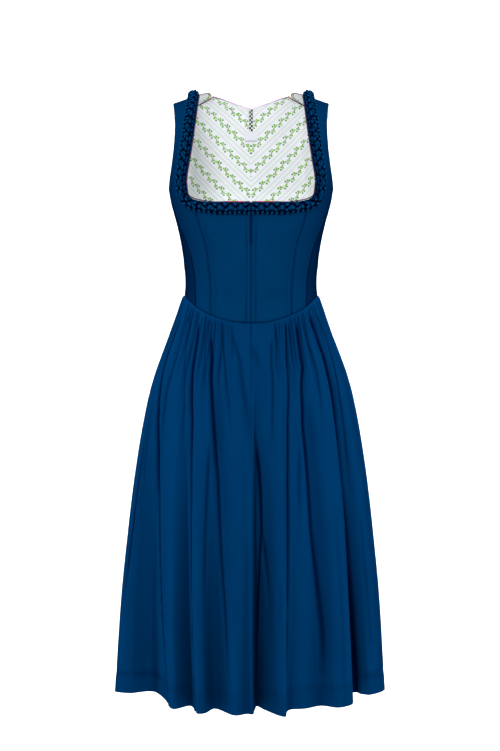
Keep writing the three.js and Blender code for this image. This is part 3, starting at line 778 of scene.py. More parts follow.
class Paint:
    """A material under construction, with short calls for its nodes."""

    def __init__(self, name: str) -> None:
        """Starts the material.

        Args:
            name: the material's name.
        """
        self.material = bpy.data.materials.new(name)
        self.material.use_nodes = True
        self.tree = self.material.node_tree
        self.tree.nodes.clear()
        self.shader = self.tree.nodes.new("ShaderNodeBsdfPrincipled")
        out = self.tree.nodes.new("ShaderNodeOutputMaterial")
        self.tree.links.new(self.shader.outputs[0], out.inputs[0])

    def node(self, kind: str, links: dict[str | int, object], **settings: object) -> bpy.types.Node:
        """Returns a new node of the material."""
        return add_node(self.tree, kind, links, settings)

    def math(self, operation: str, *values: object) -> Socket:
        """Returns the result of a Math node."""
        return self.node("ShaderNodeMath", dict(enumerate(values)), operation=operation).outputs[0]

    def times(self, a: object, b: object) -> Socket:
        """Returns a product."""
        return self.math("MULTIPLY", a, b)

    def plus(self, a: object, b: object) -> Socket:
        """Returns a sum."""
        return self.math("ADD", a, b)

    def less(self, a: object, b: object) -> Socket:
        """Returns a difference."""
        return self.math("SUBTRACT", a, b)

    def soft(self, value: object, low: float, high: float, start: float = 0.0, end: float = 1.0) -> Socket:
        """Makes a soft step.

        Args:
            value: what it reads.
            low: where it starts.
            high: where it ends.
            start: the result up to low.
            end: the result from high on.

        Returns:
            The step's result.
        """
        return self.node("ShaderNodeMapRange", {
            "Value": value, "From Min": low, "From Max": high, "To Min": start, "To Max": end},
            interpolation_type="SMOOTHSTEP").outputs[0]

    def blend(self, share: object, a: object, b: object) -> Socket:
        """Mixes two colours.

        Args:
            share: how much of the second one shows.
            a: the first colour, a socket or three values.
            b: the second one.

        Returns:
            The mixed colour.
        """
        node = self.node("ShaderNodeMix", {"Factor": share}, data_type="RGBA")
        for socket, value in ((node.inputs[6], a), (node.inputs[7], b)):
            if isinstance(value, Socket):
                self.tree.links.new(value, socket)
            else:
                socket.default_value = (*value, 1.0)
        return node.outputs[2]

    def noise(self, vector: object, scale: float, detail: float = 2.0) -> Socket:
        """Returns a noise texture's value."""
        links = {"Vector": vector, "Scale": scale, "Detail": detail}
        return self.node("ShaderNodeTexNoise", links).outputs[0]

    def ribs(self, scale: float) -> Socket:
        """Returns fine ribs across the piece's UV map."""
        links = {"Vector": self.uv(), "Scale": scale}
        return self.node("ShaderNodeTexWave", links, bands_direction="Y").outputs[1]

    def place(self) -> Socket:
        """Returns Object coordinates."""
        return self.node("ShaderNodeTexCoord", {}).outputs["Object"]

    def uv(self) -> Socket:
        """Returns the piece's own UV map."""
        return self.node("ShaderNodeUVMap", {}, uv_map="cloth").outputs[0]

    def parts(self, vector: object) -> bpy.types.NodeOutputs:
        """Returns a vector's three values."""
        return self.node("ShaderNodeSeparateXYZ", {"Vector": vector}).outputs

    def wave(self, value: object, length: float) -> Socket:
        """Returns a sine wave of a length, from 0 to 1."""
        return self.math("MULTIPLY_ADD", self.math("SINE", self.times(value, TURN / length)), 0.5, 0.5)

    def value(self, key: str) -> Socket:
        """Returns an attribute of the piece."""
        return self.node("ShaderNodeAttribute", {}, attribute_name=key).outputs["Fac"]

    def scaled(self, vector: object, x: float, y: float, turn: float = 0.0) -> Socket:
        """Returns a vector turned and scaled by a Mapping node."""
        return self.node("ShaderNodeMapping", {
            "Vector": vector, "Rotation": (0, 0, math.radians(turn)), "Scale": (x, y, 1)}).outputs[0]

    def finish(self, colour: object, roughness: object, height: object = None, depth: float = 0.1,
               **fixed: object) -> Material:
        """Connects colour, roughness and bump, and sets the shader's uniform values.

        Args:
            colour: a socket or three values.
            roughness: a socket or a value.
            height: the bump's height, 0 to 1, or None.
            depth: the bump's depth in millimetres.
            fixed: uniform values for the shader's own inputs.

        Returns:
            The material.
        """
        for key, value in {"Base Color": colour, "Roughness": roughness, **fixed}.items():
            socket = self.shader.inputs[key.replace("_", " ")]
            if isinstance(value, Socket):
                self.tree.links.new(value, socket)
            elif isinstance(value, tuple):
                socket.default_value = (*value, 1.0) if len(socket.default_value) == 4 else value
            else:
                socket.default_value = value
        if height is not None:
            relief = self.node("ShaderNodeBump", {"Height": height, "Distance": depth * MM, "Strength": 1.0})
            self.tree.links.new(relief.outputs[0], self.shader.inputs["Normal"])
        return self.material


def toned(colour: Triple, share: float) -> Triple:
    """Returns a darker or lighter tone of a colour."""
    return tuple(share * value for value in colour)


@dataclass(frozen=True)
class BlueCloth:
    """Dark blue woven cloth with a fine twill."""

    name: str
    light: Triple
    dark: Triple
    rib: float = 1.15
    slant: float = 58.0
    rib_depth: float = 0.16
    roughness: float = 0.78
    sheen: float = 0.0
    gloss: float = 0.0
    shade: Triple = (0.2, 0.1, 0.24)

    def material(self) -> Material:
        """Builds the finish.

        Returns:
            The material.
        """
        paint = Paint(self.name)
        uv = paint.uv()
        fine = 1000 / self.rib / TURN
        ribs = paint.node("ShaderNodeTexWave", {
            "Vector": paint.scaled(uv, fine, fine, self.slant), "Scale": 3.1416, "Distortion": 1.2,
            "Detail": 2.0, "Detail Scale": 1.5}, bands_direction="X").outputs[1]
        grain = paint.noise(uv, 430.0, 3.0)
        cloud = paint.noise(uv, 16.0, 3.0)
        weave = paint.plus(paint.times(ribs, 0.6), paint.times(grain, 0.4))
        tone = paint.plus(paint.times(weave, 0.7), paint.times(cloud, 0.3))
        colour = paint.blend(paint.soft(tone, 0.25, 0.75), self.dark, self.light)
        # Painted shade: where the piece's "lit" value falls, the colour darkens towards a dim tone of the
        # dark yarn.
        painted_shade_colour = paint.blend(paint.value("lit"), tuple(map(math.prod, zip(self.shade, self.dark))), colour)
        rough = paint.soft(cloud, 0.3, 0.7, self.roughness - 0.06, self.roughness + 0.06)
        return paint.finish(painted_shade_colour, rough, weave, self.rib_depth, Sheen_Weight=self.sheen, Sheen_Roughness=0.5,
                            Sheen_Tint=(0.0, 0.25, 0.8), Specular_IOR_Level=self.gloss,
                            Specular_Tint=(0.0, 0.35, 1.0))


@dataclass(frozen=True)
class PlaitCloth:
    """The plaited trim's cloth, with painted shade that darkens it in its creases."""

    name: str = "plait_cloth"
    light: Triple = (0.0, 0.034, 0.108)
    dark: Triple = (0.0, 0.0008, 0.008)

    def material(self) -> Material:
        """Builds the finish.

        Returns:
            The material.
        """
        paint = Paint(self.name)
        place = paint.place()
        grain = paint.noise(place, 900.0, 3.0)
        folds = paint.noise(place, 420.0, 2.0)
        # Painted shade: a low "crown" value darkens the cloth towards the near-black dark colour in creases
        # and under the puffs.
        depth = paint.soft(paint.value("crown"), 0.3, 0.92)
        colour = paint.blend(depth, self.dark, self.light)
        height = paint.plus(paint.times(grain, 0.4), folds)
        rough = paint.soft(grain, 0.3, 0.7, 0.5, 0.68)
        return paint.finish(colour, rough, height, 0.35, Specular_IOR_Level=0.0)


@dataclass(frozen=True)
class PrintedCotton:
    """White cotton with rows of green leaves that run down to the centre seam, and pale stripes between."""

    name: str = "printed_cotton"
    ground: Triple = (0.74, 0.74, 0.80)
    leaf: Triple = (0.16, 0.38, 0.004)
    bud: Triple = (0.05, 0.23, 0.01)
    stripe: Triple = (0.575, 0.635, 0.59)
    slope: float = 0.95
    row_pitch: float = 30.4
    row_start: float = 2.6
    motif_pitch: float = 18.1
    stripe_apart: float = 3.7
    stripe_half: float = 1.9
    wobble: float = 2.2
    shade: Triple = (0.50, 0.50, 0.58)

    def material(self) -> Material:
        """Builds the finish.

        Returns:
            The material.
        """
        paint = Paint(self.name)
        uv = paint.uv()
        parts = paint.parts(uv)
        wobble = paint.parts(paint.node("ShaderNodeTexNoise", {
            "Vector": uv, "Scale": 420.0, "Detail": 1.0}).outputs[1])
        shift = [paint.times(paint.less(wobble[k], 0.5), self.wobble) for k in (0, 1)]
        across = paint.times(paint.math("ABSOLUTE", parts[0]), 1000.0)
        down = paint.times(parts[1], -1000.0)
        size = math.hypot(1.0, self.slope)
        along = paint.math("DIVIDE", paint.less(across, paint.times(down, self.slope)), size)
        over = paint.math("DIVIDE", paint.plus(down, paint.times(across, self.slope)), size)
        half = self.row_pitch / 2
        row = lambda value: paint.less(paint.math(
            "FLOORED_MODULO", paint.less(value, self.row_start - half), self.row_pitch), half)
        repeat = paint.math("FLOORED_MODULO", paint.plus(along, shift[0]), self.motif_pitch)
        leaf_row = row(paint.plus(over, shift[1]))
        spot = paint.node("ShaderNodeCombineXYZ", {"X": repeat, "Y": leaf_row}).outputs[0]
        aside = paint.less(paint.less(half, paint.math("ABSOLUTE", row(over))), self.stripe_apart)
        edge = (self.stripe_half - 0.3, self.stripe_half + 0.3)
        stripes = paint.soft(paint.math("ABSOLUTE", aside), *edge, 1.0, 0.0)
        ground = paint.blend(paint.soft(paint.noise(uv, 22.0, 2.0), 0.35, 0.7), self.ground,
                             toned(self.ground, 0.955))
        colour = paint.blend(paint.times(stripes, 0.75), ground, self.stripe)
        leaf = paint.blend(paint.soft(paint.noise(uv, 260.0, 1.0), 0.4, 0.6), toned(self.leaf, 0.7),
                           toned(self.leaf, 1.3))
        colour = paint.blend(self._blobs(paint, spot, LEAVES), colour, leaf)
        colour = paint.blend(self._blobs(paint, spot, BUDS), colour, self.bud)
        colour = paint.blend(paint.value("lit"), self.shade, colour)
        return paint.finish(colour, 0.85, paint.noise(uv, 1500.0, 2.0), 0.12, Specular_IOR_Level=0.2)

    @staticmethod
    def _blobs(paint: Paint, spot: Socket, table: Table) -> Socket:
        """Draws the repeat's round marks.

        Args:
            paint: the material.
            spot: the place in the repeat.
            table: the marks' places and radii.

        Returns:
            A value that is 1 on the marks and 0 beside them.
        """
        total = None
        for along, over, radius in zip(*table.columns.values()):
            away = paint.node("ShaderNodeVectorMath", {0: spot, 1: (along, over, 0.0)}, operation="DISTANCE")
            mark = paint.soft(away.outputs["Value"], radius - 0.35, radius + 0.35, 1.0, 0.0)
            total = mark if total is None else paint.math("MAXIMUM", total, mark)
        return total


LEAVES = Table("along over radius", [
    (3.2, 4.3, 1.8), (1.3, 1.0, 1.7), (5.1, 0.9, 1.8), (11.9, -4.1, 1.8), (10.0, -0.8, 1.8),
    (13.8, -0.7, 1.7), (7.4, -0.9, 0.9), (16.4, 0.8, 0.9)])
BUDS = Table("along over radius", [(7.2, -4.7, 1.75), (15.9, 4.6, 1.75)])


@dataclass(frozen=True)
class CordFinish:
    """Thin twisted piping in two colours."""

    name: str = "piping"
    plain: Triple = (0.02, 0.004, 0.05)
    marked: Triple = (0.42, 0.0, 0.015)
    groove: Triple = (0.02, 0.004, 0.04)
    twist: float = 1.3

    def material(self) -> Material:
        """Builds the finish.

        Returns:
            The material.
        """
        paint = Paint(self.name)
        twist = paint.wave(paint.value("run"), self.twist)
        colour = paint.blend(paint.value("mark"), self.plain, self.marked)
        # Painted shade: the twist's grooves are darkened towards the groove colour.
        colour = paint.blend(paint.times(twist, 0.3), colour, self.groove)
        return paint.finish(colour, 0.5, twist, 0.2, Specular_IOR_Level=0.1)


PALE_CORD = CordFinish("pale_piping", (0.55, 0.33, 0.58), (0.24, 0.03, 0.26))


@dataclass(frozen=True)
class CheckedRibbon:
    """Black and white checks in two columns."""

    name: str = "checked_ribbon"
    square: float = 3.4
    black: Triple = (0.012, 0.014, 0.012)
    white: Triple = (0.82, 0.84, 0.80)

    def material(self) -> Material:
        """Builds the finish.

        Returns:
            The material.
        """
        paint = Paint(self.name)
        parts = paint.parts(paint.uv())
        waves = [paint.math("SINE", paint.times(parts[k], 3141.6 / self.square)) for k in (0, 1)]
        colour = paint.blend(paint.soft(paint.times(*waves), 0.14, 0.3), self.black, self.white)
        return paint.finish(colour, 0.6, paint.ribs(600.0), 0.1)


@dataclass(frozen=True)
class LabelCloth:
    """A bare woven label with a darker line painted near its lower edge, as that edge's shadow."""

    name: str = "label_cloth"
    ground: Triple = (0.72, 0.73, 0.79)
    edge: Triple = (0.33, 0.34, 0.38)
    middle: float = 12.0

    def material(self) -> Material:
        """Builds the finish.

        Returns:
            The material.
        """
        paint = Paint(self.name)
        parts = paint.parts(paint.uv())
        up = paint.times(parts[1], 1000.0)
        side = paint.less(paint.times(parts[0], 1000.0), self.middle)
        # Painted shadow: a thin dark line that bows along the label's lower edge.
        bowed = paint.math("MULTIPLY_ADD", paint.times(side, side), 0.012, 1.2)
        line = paint.soft(paint.math("ABSOLUTE", paint.less(up, bowed)), 0.45, 0.95, 1.0, 0.0)
        line = paint.times(line, paint.soft(paint.math("ABSOLUTE", side), 11.0, 11.6, 1.0, 0.0))
        weave = paint.ribs(900.0)
        colour = paint.blend(line, paint.blend(weave, toned(self.ground, 0.93), self.ground), self.edge)
        return paint.finish(colour, 0.7, weave, 0.08)


@dataclass(frozen=True)
class Thread:
    """Sewing thread in the cloth's colour."""

    name: str = "thread"
    colour: Triple = (0.0, 0.016, 0.060)

    def material(self) -> Material:
        """Builds the finish.

        Returns:
            The material.
        """
        paint = Paint(self.name)
        strands = paint.noise(paint.place(), 2500.0, 1.0)
        colour = paint.blend(strands, toned(self.colour, 0.6), self.colour)
        return paint.finish(colour, 0.6, strands, 0.05, Specular_IOR_Level=0.05)


@dataclass(frozen=True)
class ZipTape:
    """The zip's dark tape."""

    name: str = "zip_tape"
    colour: Triple = (0.001, 0.006, 0.02)
    rib: float = 1.6

    def material(self) -> Material:
        """Builds the finish.

        Returns:
            The material.
        """
        paint = Paint(self.name)
        ribs = paint.wave(paint.parts(paint.place())[2], self.rib * MM)
        colour = paint.blend(ribs, self.colour, toned(self.colour, 2.5))
        return paint.finish(colour, 0.7, ribs, 0.3, Specular_IOR_Level=0.03)


@dataclass(frozen=True)
class PaleFloor:
    """A plain pale studio floor."""

    name: str = "pale_floor"
    colour: Triple = (0.9, 0.9, 0.9)

    def material(self) -> Material:
        """Returns the finish."""
        return Paint(self.name).finish(self.colour, 0.8)


# ---------------------------------------------------------------- the bodice's cut


INNER_SEAM = Table("across height", [
    (69.5, -387), (70, -347), (72, -318), (75.5, -287), (80.5, -262), (87, -243), (93, -222), (99, -194)])
OUTER_SEAM = Table("across height", [
    (96, -373), (97, -345), (99.5, -312), (104.5, -287), (111.5, -265), (121, -242), (132, -213),
    (144.5, -163)])
BACK_SEAM = np.array([(142, -357), (141, -300), (134, -240), (124, -195), (112, -166)], float)
ARMHOLE_FLOOR = np.array([(90, -166), (101, -167)], float)
NECK_FRONT = Table("across height", [(0, -199.9), (35, -199.5), (72, -198.6), (99, -194)])
STRAP = Table("row neckArch neck armArch arm", [
    (0, -13, 99, -1, 144.5),
    (1, -10, 107.5, 1.5, 144),
    (2, -4, 111, 5, 143),
    (3, 4, 111.3, 10, 141),
    (4, 13, 107.5, 17, 138.5),
    (5, 24, 103, 27, 135.5),
    (6, 38, 98.5, 40, 134),
    (7, 54, 95, 55, 134.5),
    (8, 72, 92.5, 73, 137.5),
    (9, 87, 91.5, 90, 139),
    (10, 94, 78, 105, 139),
    (11, 105, 71, 123, 138),
])
BACK_ARM = (143, 138, 133, 132, 134, 138)
BACK_CENTRE_ARCH = 51.0
BACK_NECK_BOW = 6.0
ZIP_BAND = 8.8
SEAM_GAP = 0.02
FRONT_GAP = 0.22
CENTRE_LAP = 0.12
TOPSTITCH = 8.1
NEAR = (1.1, 2.4, 4.2, 6.4)


def sample(line: Array, at: Array) -> Array:
    """Returns places at shares of an evenly spaced line."""
    index = np.linspace(0, 1, len(line))
    return places(np.interp(at, index, line[:, 0]), np.interp(at, index, line[:, 1]))


def fitted(line: Array, start: Array, end: Array) -> Array:
    """Returns a line that is shifted little by little to meet two ends."""
    share = np.linspace(0, 1, len(line))[:, None]
    return line + (start - line[0]) * (1 - share) + (end - line[-1]) * share


class Cut:
    """The lines that cut the left half of the bodice, and the grids of chart places between them."""

    def __init__(self) -> None:
        """Runs every line through its table."""
        self.inner = FORM.spaced(self._rising(INNER_SEAM), 1.0)
        self.outer = FORM.spaced(self._rising(OUTER_SEAM), 1.0)
        back = BACK_SEAM.copy()
        back[0, 1] = FORM.waistline(back[0, 0])
        self.back = FORM.spaced(back, 1.0)
        across, height = NECK_FRONT.columns["across"], NECK_FRONT.columns["height"]
        self.neck = FORM.spaced(places(FORM.turn_at(across, height), height), 1.0)
        self.floor = FORM.spaced(np.vstack([self.outer[-1:], ARMHOLE_FLOOR, self.back[-1:]]), 1.0)
        seam = STRAP.columns
        self.shoulder = [self.strap("neck", np.array([11.0]))[0], self.strap("arm", np.array([11.0]))[0]]
        rises = (np.arange(6) + 1) / 6
        low, high = self.back[-1, 1], FORM.arch_reach(180 - seam["armArch"][-1])
        arm = places(FORM.turn_at(np.array(BACK_ARM), FORM.underarm, True), mix(low, high, rises))
        self.back_arm = FORM.spaced(np.vstack([self.back[-1:], arm]), 1.0)

    @staticmethod
    def _rising(seam: Table) -> Array:
        """Reads a seam, and sets its foot on the waistline.

        Args:
            seam: the seam's table.

        Returns:
            Its places.
        """
        turn = FORM.turn_at(seam.columns["across"], seam.columns["height"])
        reach = seam.columns["height"].copy()
        reach[0] = FORM.waistline(turn[0])
        return places(turn, reach)

    @staticmethod
    def strap(edge: str, rows: Array) -> Array:
        """Returns the places of one edge of the shoulder strap at rows of its table."""
        reach = FORM.arch_reach(STRAP.read("row", edge + "Arch", rows))
        return places(FORM.turn_at(STRAP.read("row", edge, rows), reach), reach)

    def neck_start(self, turn: float) -> Array:
        """Finds the places that lead a trim into the front neckline.

        Args:
            turn: the first one's turn.

        Returns:
            Three places.
        """
        start = self.neck[[0, len(self.neck) // 3, 2 * len(self.neck) // 3]].copy()
        start[0, 0] = turn
        return start

    @staticmethod
    def back_neck(across: Array) -> Array:
        """Runs along the back neckline.

        Args:
            across: distances from the centre.

        Returns:
            The places there.
        """
        share = across / STRAP.columns["neck"][-1]
        ends = [FORM.arch_reach(arch) for arch in (BACK_CENTRE_ARCH, 180 - STRAP.columns["neckArch"][-1])]
        reach = mix(*ends, share)
        turn = FORM.turn_at(across, FORM.underarm, True)
        return places(turn, reach - BACK_NECK_BOW * np.sin(np.pi * share))

    @staticmethod
    def over_shoulder(line: Array) -> Array:
        """Returns a line of the front as the back counts it, over the top of the shoulder."""
        return places(180 - line[:, 0], 2 * FORM.arch_reach(90) - line[:, 1])

    @staticmethod
    def waist(start: float, end: float, at: Array) -> Array:
        """Returns places on the waistline between two turns."""
        turn = mix(start, end, at)
        return places(turn, FORM.waistline(turn))

    def _between(self, left: Array, right: Array, top: Array, across: Array, up: Array) -> Array:
        """Fills the grid from the waistline up.

        Args:
            left: places of its first side line.
            right: places of the other side line.
            top: places of the top line.
            across: shares of the columns.
            up: shares of the rows.

        Returns:
            The grid.
        """
        bottom = self.waist(left[0, 0], right[0, 0], across)
        left, right = left.copy(), right.copy()
        left[0], right[0] = bottom[0], bottom[-1]
        return coons(bottom, fitted(sample(top, across), left[-1], right[-1]), left, right, across, up)

    def front_centre(self, start: float, gap: float, up: Array) -> Array:
        """Returns the grid from a distance beside the centre line to the inner seam.

        Args:
            start: the distance of its first column.
            gap: how far it stays from the seam line.
            up: shares of its rows.

        Returns:
            The grid.
        """
        height = mix(FORM.waistline(0.0), NECK_FRONT.columns["height"][0], up)
        opening = 0.6 * step_between(height, -278, -262) if start == FRONT_GAP else 0.0
        left = places(FORM.turn_at(start + opening, height), height)
        right = FORM.beside(sample(self.inner, up), np.full(len(up), -gap))
        return self._between(left, right, self.neck, shares(76, 2.8, NEAR), up)

    def front_side(self, gap: float, up: Array) -> list[Array]:
        """Fills the front side panel.

        Args:
            gap: how far it stays from the seam lines.
            up: shares of its rows.

        Returns:
            The grids below and above the strap's foot.
        """
        across = shares(44, 2.7, NEAR)
        left = FORM.beside(sample(self.inner, up), np.full(len(up), gap))
        right = FORM.beside(sample(self.outer, up), np.full(len(up), -gap))
        yoke = straight(left[-1], right[-1], 50)
        lower = self._between(left, right, yoke, across, up)
        rows = np.unique(np.concatenate([np.linspace(0, 11, 78), [0.15, 10.75, 10.9]]))
        neck, arm = self.strap("neck", rows), self.strap("arm", rows)
        neck[0], arm[0] = lower[-1, 0], lower[-1, -1]
        upper = neck[:, None] + (arm - neck)[:, None] * across[None, :, None]
        upper[0] = lower[-1]
        return [lower, upper]

    def side(self, gap: float) -> Array:
        """Fills the side panel.

        Args:
            gap: how far it stays from the seam lines.

        Returns:
            The grid.
        """
        up = shares(200, 3.4, NEAR)
        left = FORM.beside(sample(self.outer, up), np.full(len(up), gap))
        right = FORM.beside(sample(self.back, up), np.full(len(up), -gap))
        return self._between(left, right, self.floor, shares(120, 3.2, NEAR), up)

    def back_panel(self, gap: float) -> list[Array]:
        """Fills the back panel.

        Args:
            gap: how far it stays from the side seam.

        Returns:
            The grids below and above the underarm.
        """
        up, across = shares(200, 3.6, NEAR), np.unique(np.concatenate([
            shares(70, 3.2, NEAR) / 2, 0.5 + shares(70, 3.2, NEAR) / 2]))
        centre = 180 + CENTRE_LAP
        left = FORM.beside(sample(self.back, up), np.full(len(up), gap))
        right = places(centre, mix(FORM.waistline(180.0), self.back[-1, 1], up))
        yoke = straight(left[-1], right[-1], 60)
        lower = self._between(left, right, yoke, across, up)
        seam = self.over_shoulder(straight(*reversed(self.shoulder), 60))
        neck = self.back_neck(STRAP.columns["neck"][-1] * np.linspace(1, 0, 60))
        neck[-1, 0] = centre
        outer = across < 0.4999
        top = np.vstack([sample(seam, across[outer] * 2), sample(neck, across[~outer] * 2 - 1)])
        rise = shares(130, 3.2, NEAR)
        arm = fitted(sample(self.back_arm, rise), lower[-1, 0], top[0])
        middle = places(centre, mix(self.back[-1, 1], top[-1, 1], rise))
        upper = coons(lower[-1], top, arm, middle, across, rise)
        upper[0] = lower[-1]
        return [lower, upper]


@dataclass(frozen=True)
class Crease:
    """A soft trough, or a ridge if its depth is below 0, along a line of places."""

    line: tuple[Pair, ...]
    depth: float
    width: float


BODICE_CREASES = (
    Crease(((30, -233), (36, -240), (43, -243)), 0.35, 5.0),
    Crease(((12, -222), (20, -226), (29, -225)), 0.25, 5.0),
    Crease(((48, -250), (56, -246), (66, -250)), 0.45, 5.0),
    Crease(((60, -330), (72, -322), (84, -327)), 0.5, 6.0),
    Crease(((70, -295), (86, -287), (101, -292)), 0.45, 6.0),
    Crease(((14, -366), (22, -357), (29, -355)), 0.3, 5.0),
    Crease(((92, -205), (104, -212), (118, -208)), 0.6, 6.0),
    Crease(((128, -330), (146, -322), (163, -326)), 0.6, 6.0),
    Crease(((150, -300), (161, -292), (172, -296)), 0.5, 6.0),
    Crease(((138, -238), (146, -215), (150, -190)), 0.5, 7.0),
)
LINING_CREASES = (
    Crease(((147, -52), (146, -96), (143, -140)), 1.0, 5.0),
    Crease(((139, -70), (137, -110), (135, -160)), -0.8, 5.0),
    Crease(((165, -40), (166, -80), (164, -110)), 0.4, 6.0),
)


@dataclass(frozen=True)
class Pressing:
    """How seams, turned edges and the slit show on the bodice.

    A groove or ridge is its height and width, and a band is where its soft edge starts and ends. The dark
    values and the halo darken the colour as the seams' own dark lines and as painted shade.
    """

    groove: Pair = (0.85, 0.9)
    lining_groove: float = 0.25
    lining_dark: float = 0.8
    dark: float = 0.85
    soft_dark: float = 0.45
    halo: Pair = (0.25, 3.2)
    ridge: Pair = (0.35, 1.0)
    ridge_beside: float = 2.3
    fell: Pair = (0.3, 1.4)
    fell_dark: Pair = (0.22, 1.3)
    fell_beside: float = 9.6
    allowance: Pair = (7.0, 10.0)
    edge: Pair = (0.55, 1.0)
    edge_band: Pair = (5.0, 6.5)
    slit_foot: Pair = (-276.0, -268.0)
    slit_dark: Pair = (0.65, 1.0)
    slit_width: Pair = (1.0, 2.3)
    slit_ridge: Pair = (0.3, 1.6)
    slit_ridge_beside: float = 3.9
    stitched: float = 0.45
    stitched_dark: float = 0.4
    side_dark: Pair = (0.36, 0.8)
    side_band: Pair = (-0.2, 0.25)


PRESSING = Pressing()


def welt(away: Array, form: Pair) -> Array:
    """Returns a groove's or ridge's size at distances from its line."""
    return form[0] * bump(away, form[1])


@dataclass
class Panel:
    """A panel of cloth on the body, with its seams pressed in and its free edges turned."""

    name: str
    grids: list[Array]
    sewn: list[Array]
    turned: list[Array]
    depth: float = 0.0
    thickness: float = 1.3
    creases: tuple[Crease, ...] = BODICE_CREASES
    middle: float = 0.0
    allowance: float = 0.3
    held: tuple[str, ...] = ()
    cut: Pair = (0.1, 0.2)

    def uv(self, net: Net) -> Array:
        """Lays the panel out flat.

        Args:
            net: its places.

        Returns:
            Their distances round the body from the middle and over it from the underarm, in metres.
        """
        turn, reach = net.places[:, 0], net.places[:, 1]
        steps = np.linspace(0, 1, 25)[:, None]
        ring = FORM.point(places(mix(self.middle, turn, steps), np.broadcast_to(reach, (25, len(reach)))))
        reaches = mix(FORM.underarm, reach, steps)
        meridian = FORM.point(places(np.broadcast_to(turn, reaches.shape), reaches))
        length = lambda run: np.linalg.norm(np.diff(run, axis=0), axis=2).sum(0)
        return np.stack([length(ring) * np.sign(turn - self.middle + 1e-9),
                         length(meridian) * np.sign(reach - FORM.underarm)], -1) * MM

    def relief(self, net: Net) -> tuple[Array, Array]:
        """Presses in the seams, turns the free edges and lays the creases.

        Args:
            net: the panel's places.

        Returns:
            How far the cloth stands out, and how light it is: darker in seams and towards the sides, as dark
            seam lines and as painted shade beside the seams, in the slit and on cloth turned to the side.
        """
        form, points = PRESSING, FORM.point(net.places)
        away_from = lambda line: distance_to(points, FORM.point(line[:: max(len(line) // 60, 1)]))
        relief, plateau, lit = np.zeros(len(points)), np.zeros(len(points)), np.ones(len(points))
        # Painted shade, with the dark seam lines: each seam darkens the cloth along it, and on the outer
        # cloth a halo of painted shade lies beside it.
        for index, line in enumerate(self.sewn):
            away = away_from(line)
            soft = index == 0 and self.name.startswith("front")
            groove = bump(away, form.groove[1])
            relief -= (form.lining_groove if self.depth else form.groove[0]) * groove
            plateau = np.maximum(plateau, 1 - step_between(away, *form.allowance))
            if self.depth:
                lit *= mix(form.lining_dark, 1.0, step_between(away, 0.1, 1.0))
                continue
            lit *= (1 - (form.soft_dark if soft else form.dark) * groove) * (1 - welt(away, form.halo))
            if soft and self.name == "front_centre":
                relief -= welt(away - form.fell_beside, form.fell)
                lit *= 1 - welt(away - form.fell_beside, form.fell_dark)
            elif index < 2:
                relief += welt(away - form.ridge_beside, form.ridge)
        for line in self.turned:
            away = away_from(line)
            relief -= welt(away, form.edge)
            plateau = np.maximum(plateau, 1 - step_between(away, *form.edge_band))
        # Painted shade in the slit's gap and along the topstitching.
        if self.name == "front_centre":
            across, slit = np.abs(points[:, 0]), step_between(net.places[:, 1], *form.slit_foot)
            stitched = bump(across - TOPSTITCH, form.groove[1])
            relief += welt(across - form.slit_ridge_beside, form.slit_ridge) - form.stitched * stitched
            dark = mix(*form.slit_dark, slit) * bump(across, mix(*form.slit_width, slit))
            lit *= 1 - np.maximum(form.stitched_dark * stitched, dark)
        for crease in self.creases:
            line = FORM.point(FORM.spaced(np.array(crease.line, float), 4.0))
            relief -= crease.depth * bump(distance_to(points, line), crease.width)
        # Painted shade: outer cloth is darker where it turns to the side, most where it still leans forward.
        if not self.depth:
            faced = FORM.normal(net.places)[:, 1]
            shade = mix(*form.side_dark, step_between(faced, *form.side_band))
            lit *= mix(shade, 1.0, np.clip((np.abs(faced) - 0.25) / 0.7, 0, 1))
        return relief + self.allowance * plateau, lit

    def build(self, material: Material, slot: str) -> None:
        """Makes the panel for the wearer's left and right side.

        Args:
            material: its finish.
            slot: a slot name, passed on to hand_over.
        """
        net = Net.of(*self.grids)
        relief, lit = self.relief(net)
        outer = FORM.above(net.places, (-relief if self.depth else relief) - self.depth)
        values = {"cloth": self.uv(net), "lit": lit}
        for side in Side:
            node = f"{self.name}_{side.value}"
            piece = make_shell(f"{node}_cloth", net, outer, self.thickness, material, values, side)
            hand_over(piece, slot, node)
            rests = [f"{one}_{side.value}_cloth" for one in self.held]
            state_cut(piece, net, outer, self.cut, rests)


# ---------------------------------------------------------------- the bodice


